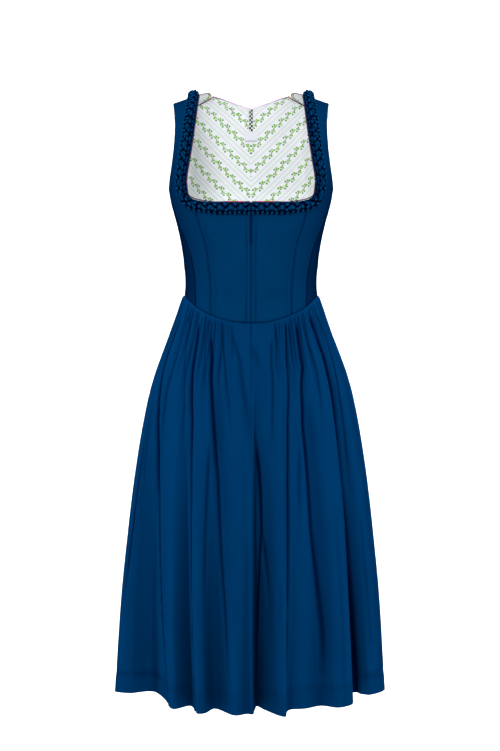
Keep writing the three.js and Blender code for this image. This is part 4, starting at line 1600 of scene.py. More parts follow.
@dataclass
class Bodice:
    """The dark cloth panels, their lining and the zip."""

    cloth: Material
    side_cloth: Material
    print_cloth: Material
    tape: Material
    thread: Material
    cut: Cut = field(default_factory=Cut)
    lining_depth: float = 1.6
    lining: float = 1.0
    tooth_pitch: float = 1.5
    stitch_pitch: float = 3.1

    def build(self) -> None:
        """Makes every panel, the lining and the zip."""
        cut = self.cut
        up = shares(190, 3.2, NEAR)
        side, back = [cut.side(SEAM_GAP)], cut.back_panel(SEAM_GAP)
        waist = lambda a, b: cut.waist(a, b, np.linspace(0, 1, 60))
        front_waist, side_waist = waist(0.0, cut.outer[0, 0]), waist(cut.outer[0, 0], cut.back[0, 0])
        back_waist = waist(cut.back[0, 0], 180.0)
        centre_back = places(np.full(60, 180.0), np.linspace(FORM.waistline(180.0), -27.4, 60))
        centre = places(np.zeros(60), np.linspace(FORM.waistline(0.0), -199.9, 60))
        rows = np.linspace(0, 11, 90)
        neck_edge, arm_edge = cut.strap("neck", rows), cut.strap("arm", rows)
        seam = straight(*cut.shoulder, 30)
        back_seam, back_neck = cut.over_shoulder(seam), cut.back_neck(np.linspace(71, 0, 40))
        for panel in (
                Panel("front_centre", [cut.front_centre(FRONT_GAP, SEAM_GAP, up)], [cut.inner, front_waist],
                      [centre], held=("front_side",), cut=(0.105, 0.206)),
                Panel("front_side", cut.front_side(SEAM_GAP, up), [cut.inner, cut.outer, front_waist, seam],
                      [neck_edge, arm_edge], held=("back", "side"), cut=(0.085, 0.44)),
                Panel("side", side, [cut.outer, cut.back, side_waist], [cut.floor], middle=90.0,
                      held=("front_side", "back"), cut=(0.165, 0.215)),
                Panel("back", back, [cut.back, back_waist, centre_back, back_seam], [cut.back_arm, back_neck],
                      middle=180.0, held=("front_side",), cut=(0.165, 0.38))):
            # The side panel gets the darker copy of the twill: painted shade.
            panel.build(self.side_cloth if panel.name == "side" else self.cloth, "bodice_cloth")
        up = shares(190, 5.0, NEAR)
        inside = {"depth": self.lining_depth, "thickness": self.lining, "allowance": 0.0}
        for panel in (
                Panel("lining_front", [cut.front_centre(ZIP_BAND, 0.0, up), *cut.front_side(0.0, up)],
                      [cut.inner, cut.outer, seam], [], held=("lining_back", "front_side"), cut=(0.18, 0.44),
                      creases=(), **inside),
                Panel("lining_side", side, [cut.outer, cut.back], [], middle=90.0, held=("side",),
                      cut=(0.165, 0.215), creases=(), **inside),
                Panel("lining_back", back, [cut.back, centre_back, back_seam], [], middle=180.0,
                      held=("back",), cut=(0.165, 0.38), creases=LINING_CREASES, **inside)):
            panel.build(self.print_cloth, "lining_cloth")
        self._zip()
        self._topstitch()

    def _zip(self) -> None:
        """Makes the zip's tape and the row of teeth under the slit."""
        height = mix(FORM.waistline(0.0), NECK_FRONT.columns["height"][0], np.linspace(0, 1, 60))
        across = np.array([-8.6, -6, -3, -1, 1, 3, 6, 8.6])
        turn = np.sign(across)[None] * FORM.turn_at(np.abs(across)[None], height[:, None])
        net = Net.of(places(turn, height[:, None]))
        outer = FORM.above(net.places, np.full(len(net.places), -self.lining_depth))
        tape = make_shell("front_zip_tape", net, outer, self.lining, self.tape)
        hand_over(tape, "zip", "front_zip")
        rows = np.arange(-398, -203, self.tooth_pitch)
        side = 0.45 * (-1.0) ** np.arange(len(rows))
        points = FORM.above(places(np.degrees(side / 110), rows), np.full(len(rows), -1.25))
        teeth = [{"point": points, "along": np.tile([1.0, 0, 0], (len(rows), 1))}]
        sew("zip_teeth", teeth, self.tape, "zip", Length=1.5 * MM, Thickness=0.7 * MM)

    def _topstitch(self) -> None:
        """Sews the two rows of stitches beside the slit, with the rounded foot of the fly."""
        lines = []
        for sign in (-1, 1):
            height = np.arange(-403.0, -224.0, self.stitch_pitch)
            across = TOPSTITCH - (5.5 * np.clip((-395 - height) / 9, 0, 1) ** 2.0 if sign > 0 else 0.0)
            line = places(sign * FORM.turn_at(across, height), height)
            points = FORM.above(line, np.full(len(line), 0.34))
            lines.append({"point": points, "along": unit(np.gradient(points, axis=0))})
        sew("zip_topstitch", lines, self.thread, "bodice_cloth")


# ---------------------------------------------------------------- the plaited trim and other trims


BRAID_END = ((98, 90.5), (108, 89))
PUFFS = (
    ("corners", "eyes", 4.4, 6.3, (4.4, 2.3, 2.9)),
    ("puffs", "eyes", 13.2, 6.6, (3.1, 2.6, 3.2)),
    ("knots", "knots", 10.2, 6.8, (3.0, 3.4, 2.9)),
    ("outer_puffs", "loops", 17.6, 5.0, (2.9, 2.1, 3.0)),
    ("loops", "loops", 20.4, 2.2, (3.1, 1.8, 2.6)),
    ("beads", "loops", 0.6, 2.2, (2.7, 1.3, 2.2)),
)


@dataclass
class Braid:
    """The plaited trim of one side: a pinched and pleated strip with puffs in its eyes and looped edges."""

    cloth: Material
    cut: Cut
    side: Side
    pitch: float = 17.0
    clear: float = 1.0
    width: float = 21.0
    end_rise: float = 3.6
    line: Array = field(init=False)
    length: float = field(init=False)

    def __post_init__(self) -> None:
        """Lays the line along the neckline and over the shoulder."""
        ends = np.array([FORM.arch_reach(arch) for arch, _ in BRAID_END])
        tail = places(FORM.turn_at(np.array([across for _, across in BRAID_END]), ends), ends)
        through = np.vstack([self.cut.neck_start(0.12), self.cut.strap("neck", np.arange(1.0, 10.0)), tail])
        self.line = FORM.spaced(through, 0.5)
        points = FORM.point(self.line)
        self.length = float(np.linalg.norm(np.diff(points, axis=0), axis=1).sum())

    def at(self, along: Array, across: Array, height: Array) -> tuple[Array, Array]:
        """Places points on the trim.

        Args:
            along: their distances along the trim.
            across: their distances across it.
            height: their heights over the body.

        Returns:
            The points and the body's normals.
        """
        line = sample(self.line, np.clip(along / self.length, 0, 1))
        dense = FORM.point(self.line)
        ahead = unit(np.gradient(dense, axis=0))
        index = np.clip((along / self.length * (len(dense) - 1)).astype(int), 0, len(dense) - 1)
        normal = FORM.normal(line)
        away = unit(np.cross(ahead[index], normal))
        side, up = FORM.steps(line)
        distance = self.clear + across
        height = height + self.end_rise * step_between(along, self.length - 48, self.length - 22)
        place = places(line[:, 0] + (away * side).sum(-1) / (side * side).sum(-1) * distance,
                       line[:, 1] + (away * up).sum(-1) / (up * up).sum(-1) * distance)
        return FORM.above(place, height), FORM.normal(place)

    def ruching(self) -> None:
        """Makes the pleated strip, pinched along crossing lines so that puffs stand between them."""
        along = np.linspace(0, self.length, round(self.length / 0.6) + 1)
        across = self.width * (0.5 - 0.5 * np.cos(np.pi * np.linspace(0, 1, 44)))
        run, over = np.meshgrid(along, across, indexing="ij")
        a = run / self.pitch + 0.05 * np.sin(run / 13.7 + 1) + 0.03 * np.sin(run / 5.3 + over / 4)
        b = over / self.width + 0.03 * np.sin(run / 7.1)
        slant = 1 / math.hypot(1 / self.pitch, 1 / self.width)
        fold = lambda value, size: np.arcsin(np.abs(np.sin(np.pi * value))) / np.pi * size
        pinched = np.minimum(fold(a + b, slant), fold(a - b, slant))
        for line in (fold(2 * a, self.pitch / 2) + 8 * (1 - step_between(b, 0.38, 0.5)),
                     np.abs(over - 0.73 * self.width + 0.7 * np.sin(4 * np.pi * a)) + 0.25,
                     np.abs(over - 0.22 * self.width) + 0.9 + 2.4 * np.abs(np.sin(np.pi * a))):
            pinched = np.minimum(pinched, line)
        lump = 1 - np.exp(-pinched / 1.5)
        edge = np.clip(np.sin(np.pi * np.clip(over / self.width, 0, 1)), 0, 1) ** 0.4
        pleats = 0.16 * np.sin(2 * np.pi * (run + np.sign(np.sin(np.pi * (a + b))) * over) / 2.3) * lump
        height = 0.6 + edge * (2.0 + 5.6 * lump + pleats)
        scallop = 0.9 * (np.abs(np.sin(2 * np.pi * a)) - 0.5) * (over / self.width) ** 4
        top = self.at(run.ravel(), (over + scallop).ravel(), height.ravel())[0].reshape(*run.shape, 3)
        level = lambda value: np.full(len(along), value)
        under = [self.at(along, level(w), level(0.4))[0] for w in (self.width - 1.0, 1.0)]
        rings = np.concatenate([top, np.stack(under, 1)], 1)
        # Painted shade: the crown value is low in the pinched creases, the pleats' troughs and towards the
        # edges, and high on the lumps.
        shade = lump * (0.35 + 0.65 * edge) * (0.86 + 0.14 * np.sin(run / 3.1 + over / 1.7)) + 0.5 * pleats
        self._tube(rings, np.concatenate([shade, np.zeros((len(along), 2))], 1))

    def _tube(self, rings: Array, crown: Array) -> None:
        """Makes the strip a closed tube.

        Args:
            rings: its rings of points.
            crown: how light each point is painted, as painted shade of the creases and edges.
        """
        count, sides = rings.shape[:2]
        index = np.arange(count * sides).reshape(count, sides)
        following = np.roll(index, -1, axis=1)
        quads = np.stack([index[:-1], following[:-1], following[1:], index[1:]], -1).reshape(-1, 4)
        points = rings.reshape(-1, 3)
        middle = np.repeat(rings.mean(1)[:-1], sides, axis=0)
        blocks = [quads, index[0][::-1][None], index[-1][None]]
        if ((points[quads].mean(1) - middle) * crossings(points, quads)).sum() < 0:
            blocks = [block[:, ::-1] for block in blocks]
        node = f"neck_braid_{self.side.value}"
        piece = make_piece(f"{node}_ruching", self.side.facing(points), self.side.wound(blocks), self.cloth,
                           {"crown": crown.ravel()})
        hand_over(piece, "braid", node)

    def folds(self) -> None:
        """Makes the puffs in the eyes, the loops of the outer edge and the beads of the inner one."""
        tree = puff_tree()
        repeats = self.length / self.pitch
        runs = {"eyes": np.arange(0.5, repeats - 0.2) * self.pitch,
                "knots": np.arange(1.0, repeats) * self.pitch,
                "loops": np.arange(0.25, repeats * 2 - 0.2) * self.pitch / 2}
        rng = np.random.default_rng(SEED)
        for what, run, across, height, (long, wide, tall) in PUFFS:
            along = runs[run]
            level = lambda value: np.full(len(along), value)
            shift = rng.uniform(-0.35, 0.35, (2, len(along)))
            points, normal = self.at(along + shift[0], across + shift[1], level(height))
            ahead = unit(self.at(along + 1, level(across), level(0.0))[0]
                         - self.at(along - 1, level(across), level(0.0))[0])
            vectors = {"point": points, "normal": normal, "along": ahead}
            source = point_chain([{key: self.side.facing(value) for key, value in vectors.items()}])
            hand_over(tree.apply(f"neck_braid_{self.side.value}_{what}", source, self.cloth, Long=long * MM,
                                 Wide=wide * MM, Tall=tall * MM), "braid")

    def build(self) -> None:
        """Makes the whole trim."""
        self.ruching()
        self.folds()


def puff_tree() -> NodeTree:
    """Builds the tree that lays a rounded puff on every point, with its height kept as the "crown" attribute,
    painted shade that darkens each puff's underside.

    Returns:
        The tree.
    """
    tree = NodeTree("puffs", {"Long": 4.8 * MM, "Wide": 4.4 * MM, "Tall": 3.4 * MM})
    ball = tree.node("GeometryNodeMeshUVSphere", {"Segments": 12, "Rings": 7, "Radius": 1.0})
    place = tree.node("GeometryNodeInputPosition", {})
    parts = tree.node("ShaderNodeSeparateXYZ", {0: place.outputs[0]})
    # The crown value is painted shade: each puff is darker low down and lighter on top.
    crown = tree.node("ShaderNodeMath", {0: parts.outputs[2], 1: 0.95}, operation="MULTIPLY")
    kept = tree.node("GeometryNodeStoreNamedAttribute", {
        "Geometry": ball.outputs[0], "Name": "crown", "Value": crown.outputs[0]},
        data_type="FLOAT", domain="POINT")
    size = tree.node("ShaderNodeCombineXYZ", {
        "X": tree.input("Long"), "Y": tree.input("Wide"), "Z": tree.input("Tall")})
    shape = tree.node("GeometryNodeTransform", {"Geometry": kept.outputs[0], "Scale": size.outputs[0]})
    stand = tree.node("FunctionNodeAlignRotationToVector", {"Vector": tree.attribute("normal")}, axis="Z")
    turn = tree.node("FunctionNodeAlignRotationToVector", {
        "Rotation": stand.outputs[0], "Vector": tree.attribute("along")}, axis="X", pivot_axis="Z")
    lay_on_points(tree, shape.outputs[0], turn.outputs[0])
    return tree


@dataclass
class Trims:
    """The piping, the hanger loop and the bare label."""

    cord: Material
    pale: Material
    ribbon: Material
    label: Material
    cut: Cut
    inside: float = 2.6
    hung: float = 0.7
    radius: float = 0.9

    def _cord(self, name: str, line: Array, beside: float, height: float, material: Material,
              marks: Array) -> None:
        """Lays a cord beside a line of places, on both sides of the dress.

        Args:
            name: the name of the solids that it replaces, without their side.
            line: the line.
            beside: how far beside the line it lies.
            height: its height over the body.
            material: its finish.
            marks: how much of the second colour shows at each place.
        """
        place = FORM.beside(line, np.full(len(line), beside))
        points = FORM.above(place, np.full(len(place), height))
        for side in Side:
            source = point_chain([{"point": side.facing(points), "run": run_along(points), "mark": marks}])
            piece = cord_tree().apply(f"{name}_{side.value}_cord", source, material, Radius=self.radius * MM)
            hand_over(piece, "piping", f"{name}_{side.value}")

    def build(self) -> None:
        """Makes every trim."""
        cut = self.cut
        line = FORM.spaced(np.vstack([cut.neck_start(0.15), cut.strap("neck", np.arange(1.0, 12.0))]), 2.0)
        points = FORM.point(line)
        across = np.where(points[:, 2] < -190, points[:, 0], 0.0)
        bright = ((across > 11) & (across < 25)) | ((across > 27) & (across < 41))
        dash = np.clip(1.6 * np.sin(run_along(points) * 2 * np.pi / 8.0) - 1.0, 0, 0.4)
        self._cord("neck_piping", line[:-2], -0.75, -0.9, self.cord, np.maximum(bright * 1.0, dash)[:-2])
        neck = FORM.spaced(cut.back_neck(np.linspace(71, 2.0, 30)), 2.5)
        share = np.linspace(0, 1, len(neck))
        self._cord("back_piping", neck, -1.6, -self.inside / 2, self.pale,
                   1 - step_between(share, 0.02, 0.12))
        seam = FORM.spaced(straight(cut.shoulder[0], mix(*cut.shoulder, 0.66), 8), 2.0)
        share = np.linspace(0, 1, len(seam))
        self._cord("shoulder_piping", seam, 0.0, -(self.inside + self.hung + self.radius), self.cord,
                   bump(share - 0.02, 0.07) + 0.8 * bump(share - 0.62, 0.12))
        self._strip("hanger_loop", "ribbon", 7.0, -2.5, 37.5, 1.1, self.ribbon, 6, 0.5)
        self._strip("neck_label", "label", 24.0, 34.5, 17.0, 0.7, self.label, 12, 0.2)

    def _strip(self, name: str, slot: str, width: float, below: float, length: float, thickness: float,
               material: Material, columns: int, bow: float) -> None:
        """Hangs a strip of cloth inside the centre back.

        Args:
            name: the name of the solid that it replaces.
            slot: the slot that it takes its finish from.
            width: its width.
            below: how far below the neckline it starts.
            length: its length.
            thickness: its thickness.
            material: its finish.
            columns: how many faces it has across.
            bow: how far it bows off the lining.
        """
        top = FORM.arch_reach(BACK_CENTRE_ARCH) - below
        across = np.linspace(width / 2, -width / 2, columns + 1)
        up = np.linspace(0, 1, round(length / 1.5) + 1)
        turn = FORM.turn_at(np.abs(across), FORM.underarm, True)
        turn = np.where(across >= 0, turn, 360 - turn)
        net = Net.of(places(turn[None], (top - length + length * up)[:, None]))
        flat = np.stack([FORM.point(net.places)[:, 0] + width / 2, net.places[:, 1] - top + length], -1)
        lift = bow * np.sin(np.pi * flat[:, 1] / length)
        outer = FORM.above(net.places, -(self.inside + self.hung) - lift)
        piece = make_shell(f"{name}_cloth", net, outer, thickness, material, {"cloth": flat * MM})
        hand_over(piece, slot, name)


# ---------------------------------------------------------------- the skirt


SKIRT = Table("drop halfWidth front back square", [
    (0, 118.5, 102, 86, 2.3),
    (36, 130, 113, 102, 2.2),
    (70, 142.5, 123, 115, 2.1),
    (104, 156, 132, 126, 2.1),
    (139, 168.5, 140, 135, 2.05),
    (180, 179.5, 147, 143, 2),
    (221, 186.5, 153, 150, 2),
    (274, 193.5, 160, 158, 2),
    (335, 199.5, 166, 165, 2),
    (399, 204, 172, 171, 2),
    (529, 210.5, 182, 181, 2),
    (701, 212, 190, 188, 2),
])
FOLD_ROWS = [
    (0.8, 4, -213, 90), (2.4, 8, -152, 60), (7.5, 23, -182, 90), (11.5, 41, -221, 130), (14, 50, -235, 130),
    (16.2, 57, -236, 130), (17.4, 59.5, -196, 120), (20, 67, -179, 110), (26, 91, -172, 160),
    (32, 118, -147, 80), (40, 150, -163, 120), (46, 174, -124, 90), (53, 173, -36, 50), (66, 209, -48, 130),
    (88, 238, 16, 100), (101, 184, 60, 120), (112, 206, 108, 100), (122, 147, 107, 90),
    (133, 155, 165, 140), (144, 97, 147, 110), (155, 87, 206, 130), (165, 39, 173, 80), (176, 13, 220, 150),
    (187, -25, 171, 100), (197, -68, 215, 120), (207, -80, 158, 90), (217, -134, 183, 130),
    (228, -134, 122, 80), (239, -194, 121, 120), (250, -181, 66, 100), (269, -240, -8, 100),
    (288, -213, -34, 130), (304, -171, -20, 60), (310, -148, -92, 100), (316, -132, -174, 120),
    (323, -102, -148, 80), (329, -90, -210, 120), (333, -77, -211, 130), (340, -60, -172, 80),
    (349, -28, -228, 140), (356, -6, -216, 110),
]
FOLDS = Table("turn x y begins", [
    *((turn - 360, *rest) for turn, *rest in FOLD_ROWS[-2:]), *FOLD_ROWS,
    *((turn + 360, *rest) for turn, *rest in FOLD_ROWS[:3])])
GATHER_RISE = Table("drop depth", [(0, 1.1), (14, 2.1), (45, 2.2), (90, 1.5), (140, 0.7), (190, 0)])


@dataclass(frozen=True)
class Gather:
    """One sharp crease that starts under the waist seam.

    across is where it starts, in millimetres to the wearer's left of the centre line, on the front.
    """

    across: float
    depth: float
    width: float
    length: float
    starts: float = 3.0
    drift: float = 0.0


FRONT_GATHERS = tuple(Gather(*row) for row in (
    (-112, 2.6, 2.2, 130, 2, -0.01), (-107, 2, 1.5, 90), (-102, 2.8, 2.4, 150, 2, -0.015),
    (-93, 3, 2.6, 210, 2, -0.005), (-89.5, 1.8, 1.3, 70, 4), (-84, 1.6, 1.5, 120, 8),
    (-78, 2.8, 1.9, 150, 2, 0.01), (-72.5, 3, 1.6, 95, 5), (-69, 2.2, 1.4, 200, 3, 0.008),
    (-65.6, 2.8, 1.7, 110, 8), (-60.4, 2.6, 1.7, 140, 3, 0.012), (-54.5, 1.4, 1.5, 60, 3),
    (-50, 2.6, 1.9, 170, 2, 0.01), (-45.8, 1.9, 1.5, 80, 3), (-39, 0.9, 1.6, 60, 3),
    (-32.8, 1.6, 1.9, 105, 3, 0.02), (41, 2.3, 1.8, 120, 3, 0.015), (47.5, 1.8, 1.5, 65, 3),
    (52, 1.6, 1.5, 90, 4), (57.8, 2.8, 1.8, 150, 3, 0.01), (64, 2.2, 1.5, 85, 2),
    (68.5, 2.9, 1.7, 130, 2, 0.012), (74.5, 2.6, 1.7, 180, 2, 0.01), (80.5, 2.9, 1.9, 140, 2, 0.012),
    (86, 1.8, 1.4, 70, 3), (90.5, 2.5, 1.9, 200, 2, 0.005), (97, 1.6, 1.5, 60, 4), (102.5, 2.5, 2, 120, 2),
    (108.5, 2.2, 1.8, 100, 2), (113, 2.6, 2, 140, 2),
))


@dataclass(frozen=True)
class Fold:
    """A crease through places (turn, distance below the waist), with depth, width and shade at both ends."""

    line: tuple[Pair, ...]
    depth: Pair
    width: Pair
    shade: Pair


FRONT_FOLDS = tuple(Fold(*row) for row in (
    (((-40.7, 23), (-40.2, 41), (-40, 72), (-38.5, 110), (-35.1, 185), (-33.4, 304), (-33, 483), (-32, 690)),
     (2.8, 4.8), (2.9, 3.7), (1, 1)),
    (((-28.6, 33), (-25.8, 80), (-23.3, 127), (-20.1, 210), (-18, 272), (-16.2, 396), (-14.4, 490),
     (-13.4, 598)), (3.4, 2), (3.2, 4.4), (1, 0.3)),
    (((-67.5, 35), (-69, 74), (-69.5, 102), (-67.8, 130), (-63.3, 185), (-57.8, 256), (-54.3, 334),
     (-50.3, 560), (-47.6, 660)), (3, 3.4), (2.4, 5), (0.8, 0.75)),
    (((-76, 206), (-77, 329), (-79, 429), (-81, 537)), (2.5, 2.5), (2.5, 4), (0.5, 0.7)),
    (((-52.5, 10), (-56.6, 46), (-56.9, 63), (-56.2, 105), (-57.5, 144), (-56.6, 191), (-56, 247)),
     (1.8, 1.5), (1.5, 2.4), (0.45, 0.35)),
    (((-48.8, 17), (-50.2, 46), (-49.5, 75), (-43.9, 120), (-41.1, 165), (-40.7, 204), (-40.4, 248)),
     (1.4, 1.6), (2, 3.6), (0.35, 0.35)),
    (((-35.1, 12), (-31.5, 72), (-27.8, 119), (-27.4, 160)), (1.4, 1.3), (1.6, 3), (0.35, 0.3)),
    (((-19.8, 10), (-18.4, 51), (-15.8, 89), (-12.8, 134), (-10.9, 194)), (1.6, 1), (1.4, 2.6), (0.5, 0.2)),
    (((-12.9, 16), (-10.9, 36), (-7.1, 64), (-3.9, 120), (-1.9, 165), (-1.4, 215)), (1.2, 1.6), (3, 6.5),
     (0.3, 0.35)),
    (((-21.9, 188), (-23.3, 224), (-23.5, 284), (-24.5, 388), (-25.2, 497)), (1.6, 1.4), (2.2, 4),
     (0.45, 0.25)),
    (((1.6, 175), (4, 253), (4.8, 302), (5, 353), (4.2, 408), (2.8, 521), (1.7, 690)), (3, 4), (2.8, 2.4),
     (1, 0.4)),
    (((5, 336), (5.9, 352), (7.5, 407), (9.7, 497)), (3, 1.2), (3, 5), (0.8, 0.2)),
    (((13.8, 426), (13.4, 487), (12.1, 531)), (1.2, 1.2), (4, 5), (0.35, 0.25)),
    (((0.5, 41), (4.9, 76), (8.7, 109)), (1.3, 0.8), (5, 6.5), (0.4, 0.25)),
    (((13.3, 32), (12.9, 73), (11.6, 170), (11.1, 230)), (1.5, 1), (2, 3.4), (0.45, 0.25)),
    (((24.8, 8), (23.2, 78), (20.5, 174), (19, 273), (18.1, 438), (17.4, 519), (17, 690)), (2, 3.4),
     (2, 2.9), (0.6, 0.9)),
    (((27.1, 11), (27.7, 62), (27.4, 91), (25.2, 125)), (2.6, 1.2), (1.8, 2.6), (0.8, 0.3)),
    (((15.9, 7), (18.2, 58), (18.3, 101)), (1.6, 0.8), (1.4, 2.6), (0.5, 0.2)),
    (((34.1, 13), (34.8, 62), (34.5, 91), (31.4, 114), (30.5, 132), (29.2, 192), (29.6, 252), (30, 366),
     (31.7, 452), (33.2, 537), (33.4, 622)), (3.4, 2.4), (2.9, 5), (1, 0.5)),
    (((40.3, 13), (41.3, 43), (43.8, 75), (44.1, 110), (42.8, 155), (40.5, 206)), (2.2, 1.2), (1.6, 3),
     (0.6, 0.25)),
    (((49.7, 14), (53.2, 51), (54.6, 90), (53.9, 113), (53.4, 164), (52.3, 213), (51.9, 303), (53.7, 393),
     (54.5, 482), (55.5, 571), (57.4, 690)), (3.6, 6), (3.9, 5.4), (1, 1)),
    (((59.7, 20), (61.8, 35), (64.5, 70), (63.5, 107), (59.8, 169), (58.6, 267), (59.1, 345)), (2.4, 1.4),
     (1.8, 3.4), (0.7, 0.3)),
    (((27, 194), (24.7, 277), (24.3, 360)), (1.4, 1), (3, 4), (0.35, 0.2)),
    (((-74.5, 182), (-72.2, 250), (-69.6, 315), (-68.1, 388)), (1.8, 1.4), (2.2, 3.6), (0.4, 0.3)),
    (((66.6, 351), (66.5, 456), (69, 640)), (1.4, 1.4), (4, 6), (0.25, 0.25)),
    (((-1.5, 330), (-4, 480), (-5.5, 650)), (0.8, 1.2), (6, 8), (0.1, 0.15)),
    (((43, 320), (43, 480), (42, 690)), (0.8, 1.6), (6, 8), (0.1, 0.2)),
    (((-20.5, 95), (-17, 200), (-13.5, 300), (-11, 560)), (0.5, 0.5), (7, 12), (0.3, 0.1)),
    (((5.5, 190), (9, 330), (9.5, 560)), (0.5, 0.5), (9, 15), (0.12, 0.16)),
    (((57.5, 90), (58, 250), (59, 450), (60.5, 690)), (0.4, 0.4), (5, 7), (0.12, 0.15)),
    (((33, 120), (33, 300), (36, 600)), (0.4, 0.4), (8, 14), (0.3, 0.12)),
    (((-74, 140), (-71, 300), (-72, 690)), (0.4, 0.4), (10, 16), (0.25, 0.12)),
    (((72, 60), (76, 300), (78, 690)), (0.4, 0.4), (10, 16), (0.25, 0.2)),
))


@dataclass
class Skirt:
    """The gathered skirt: two fronts with a centre seam, and the back."""

    cloth: Material
    thread: Material
    columns: int = 720
    rows: int = 112
    hem: float = -1055.0
    wall: float = 1.5
    hem_depth: float = 34.0
    side_turn: float = 90.8
    full_width: float = 2200.0
    below_seam: float = 0.4
    plain_front: float = 37.0
    gather_depth: float = 1.7
    gather_end: float = 190.0
    waist_groove: Pair = (1.4, 1.6)
    hem_groove: Pair = (0.5, 1.3)
    hem_dark: Pair = (0.25, 1.4)
    hem_rise: float = 0.35
    seam_rise: float = 0.22

    def __post_init__(self) -> None:
        """Lays out the columns at even steps of the waist seam and the rows down to the hem."""
        fine = np.linspace(0, 360, 2881)
        seam = FORM.point(places(fine, FORM.waistline(fine)))
        length = run_along(seam)
        self.around = length[-1]
        arc = self.around * np.arange(self.columns) / self.columns
        self.turn = np.interp(arc, length, fine)
        self.arc_of = lambda turn: np.interp(turn, fine, length)
        t = np.linspace(0, 1, self.rows)
        self.share = np.unique(np.concatenate([[0.0022, 0.0045], 0.42 * t + 0.58 * t**2.4]))
        self.share[-1] = 1.0

    def base(self, turn: Array, share: Array) -> Array:
        """Returns the smooth hanging form, without gathers and creases.

        Args:
            turn: the turns in degrees.
            share: the shares of the way from the waist seam to the hem.

        Returns:
            The points, for the two arrays' common shape.
        """
        turn, share = np.broadcast_arrays(np.asarray(turn, float), np.asarray(share, float))
        top = FORM.waistline(turn) + self.below_seam
        full = top - self.hem
        drop = share * full
        sizes = lambda at: [SKIRT.read("drop", name, at) for name in ("halfWidth", "front", "back", "square")]
        hem, here, start = (ring_place(turn, *sizes(at)) for at in (full, drop, np.zeros_like(drop)))
        seam = FORM.point(places(turn, FORM.waistline(turn)))
        settle = np.maximum(0, 1 - drop / 150) ** 2
        begins = FOLDS.read("turn", "begins", turn)
        growth = np.clip((drop - begins) / (full - begins), 0, 1) ** 1.2
        flat = [here[k] + (seam[..., k] - start[k]) * settle
                + (FOLDS.read("turn", name, turn) - hem[k]) * growth for k, name in enumerate(("x", "y"))]
        return np.stack([*flat, top - drop], -1)

    def _gathers(self) -> list[tuple[float, ...]]:
        """Lists the gathers: those of the front, and random ones round the back.

        Returns:
            Each one's place round the waist seam, depth, width, length, start and drift.
        """
        found = []
        for one in FRONT_GATHERS:
            turn = float(FORM.turn_at(abs(one.across), -400.0))
            arc = float(self.arc_of(turn)) * math.copysign(1, one.across)
            found.append((arc % self.around, one.depth, one.width, one.length, one.starts, one.drift))
        rng = np.random.default_rng(SEED)
        low = float(self.arc_of(float(FORM.turn_at(114.5, -380.0)))) + 4
        arc = low
        while arc < self.around - low:
            found.append((arc, rng.uniform(1.3, 3.1), rng.uniform(1.3, 2.5), 60 + 150 * rng.random() ** 1.6,
                          rng.uniform(1.5, 7), rng.uniform(-0.02, 0.02)))
            arc += rng.uniform(3.6, 7.6)
        return found

    def relief(self, turn: Array, share: Array, point: Array) -> tuple[Array, Array]:
        """Gathers and folds the cloth.

        Args:
            turn: the columns' turns.
            share: the rows' shares of the way down.
            point: the smooth form's points.

        Returns:
            How far the cloth stands out from the smooth form, and how light it is: painted shade in the
            gathers, folds, hem and seams, with the seams' dark lines.
        """
        top = FORM.waistline(turn)[None] + self.below_seam
        drop = share[:, None] * (top - self.hem)
        arc = self.arc_of(turn)[None]
        beside = np.clip((np.abs(point[:1, :, 0]) - self.plain_front) / 14, 0, 1)
        gathered = np.where(point[:1, :, 1] < 0, beside, 1.0)
        rise = np.where(drop < self.gather_end, GATHER_RISE.read("drop", "depth", drop), 0)
        relief = self.gather_depth * rise * gathered
        shade = np.zeros_like(drop)
        for place, depth, width, length, starts, drift in self._gathers():
            end = min(1.0, (length + 12) / (np.min(top) - self.hem))
            rows = slice(0, int(np.searchsorted(share, end)) + 1)
            down = drop[rows]
            away = arc - place - drift * down + 0.5 * np.sin(down / 23 + place)
            away = np.abs((away + self.around / 2) % self.around - self.around / 2)
            fade = step_between(down, starts, starts + 7) * (1 - step_between(down, 0.3 * length, length))
            wide = width * (1 + down / 260)
            line = fade * np.exp(-((away / wide) ** 1.35))
            relief[rows] -= depth * line
            # Painted shade in the gather's crease.
            shade[rows] = np.maximum(shade[rows], 0.17 * depth * line)
        step = np.gradient(point, axis=1)
        per_turn = np.linalg.norm(step, axis=2) / np.maximum(np.gradient(turn)[None], 1e-6)
        rng = np.random.default_rng(SEED + 1)
        folds = list(FRONT_FOLDS)
        for start in np.arange(96.0, 266.0, 5.2):
            here, low = start + rng.uniform(-1.6, 1.6), rng.uniform(20, 300)
            high, deep = low + rng.uniform(150, 420), rng.uniform(1.0, 3.4)
            line = ((here, low), (here + rng.uniform(-1.5, 1.5), mix(low, high, 0.5)), (here, high))
            depth = (deep, rng.uniform(0.8, 2.4))
            width = (rng.uniform(1.8, 2.6), rng.uniform(2.6, 5.0))
            folds.append(Fold(line, depth, width, (0.17 * deep, 0.2)))
        for fold in folds:
            turns, downs = zip(*fold.line)
            at = np.clip((drop - downs[0]) / (downs[-1] - downs[0]), 0, 1)
            away = np.abs((turn[None] - np.interp(drop, downs, turns) + 180) % 360 - 180) * per_turn
            ends = step_between(drop, downs[0] - 6, downs[0] + (16 if downs[0] < 60 else 75))
            if downs[-1] < 650:
                ends = ends * (1 - step_between(drop, downs[-1] - 90, downs[-1] + 30))
            width = mix(*fold.width, at)
            relief -= ends * mix(*fold.depth, at) * (np.exp(-((away / width) ** 1.4)) - 0.25 * bump(
                away - 2.6 * width, width))
            # Painted shade along the fold.
            shade = np.maximum(shade, ends * np.minimum(1.15 * mix(*fold.shade, at), 1) * np.exp(
                -((away / (1.1 * width)) ** 2.2)))
        rim = (1 - share[:, None]) * (top - self.hem)
        band = 1 - step_between(rim, self.hem_depth - 1.2, self.hem_depth + 1.2)
        relief += self.hem_rise * band
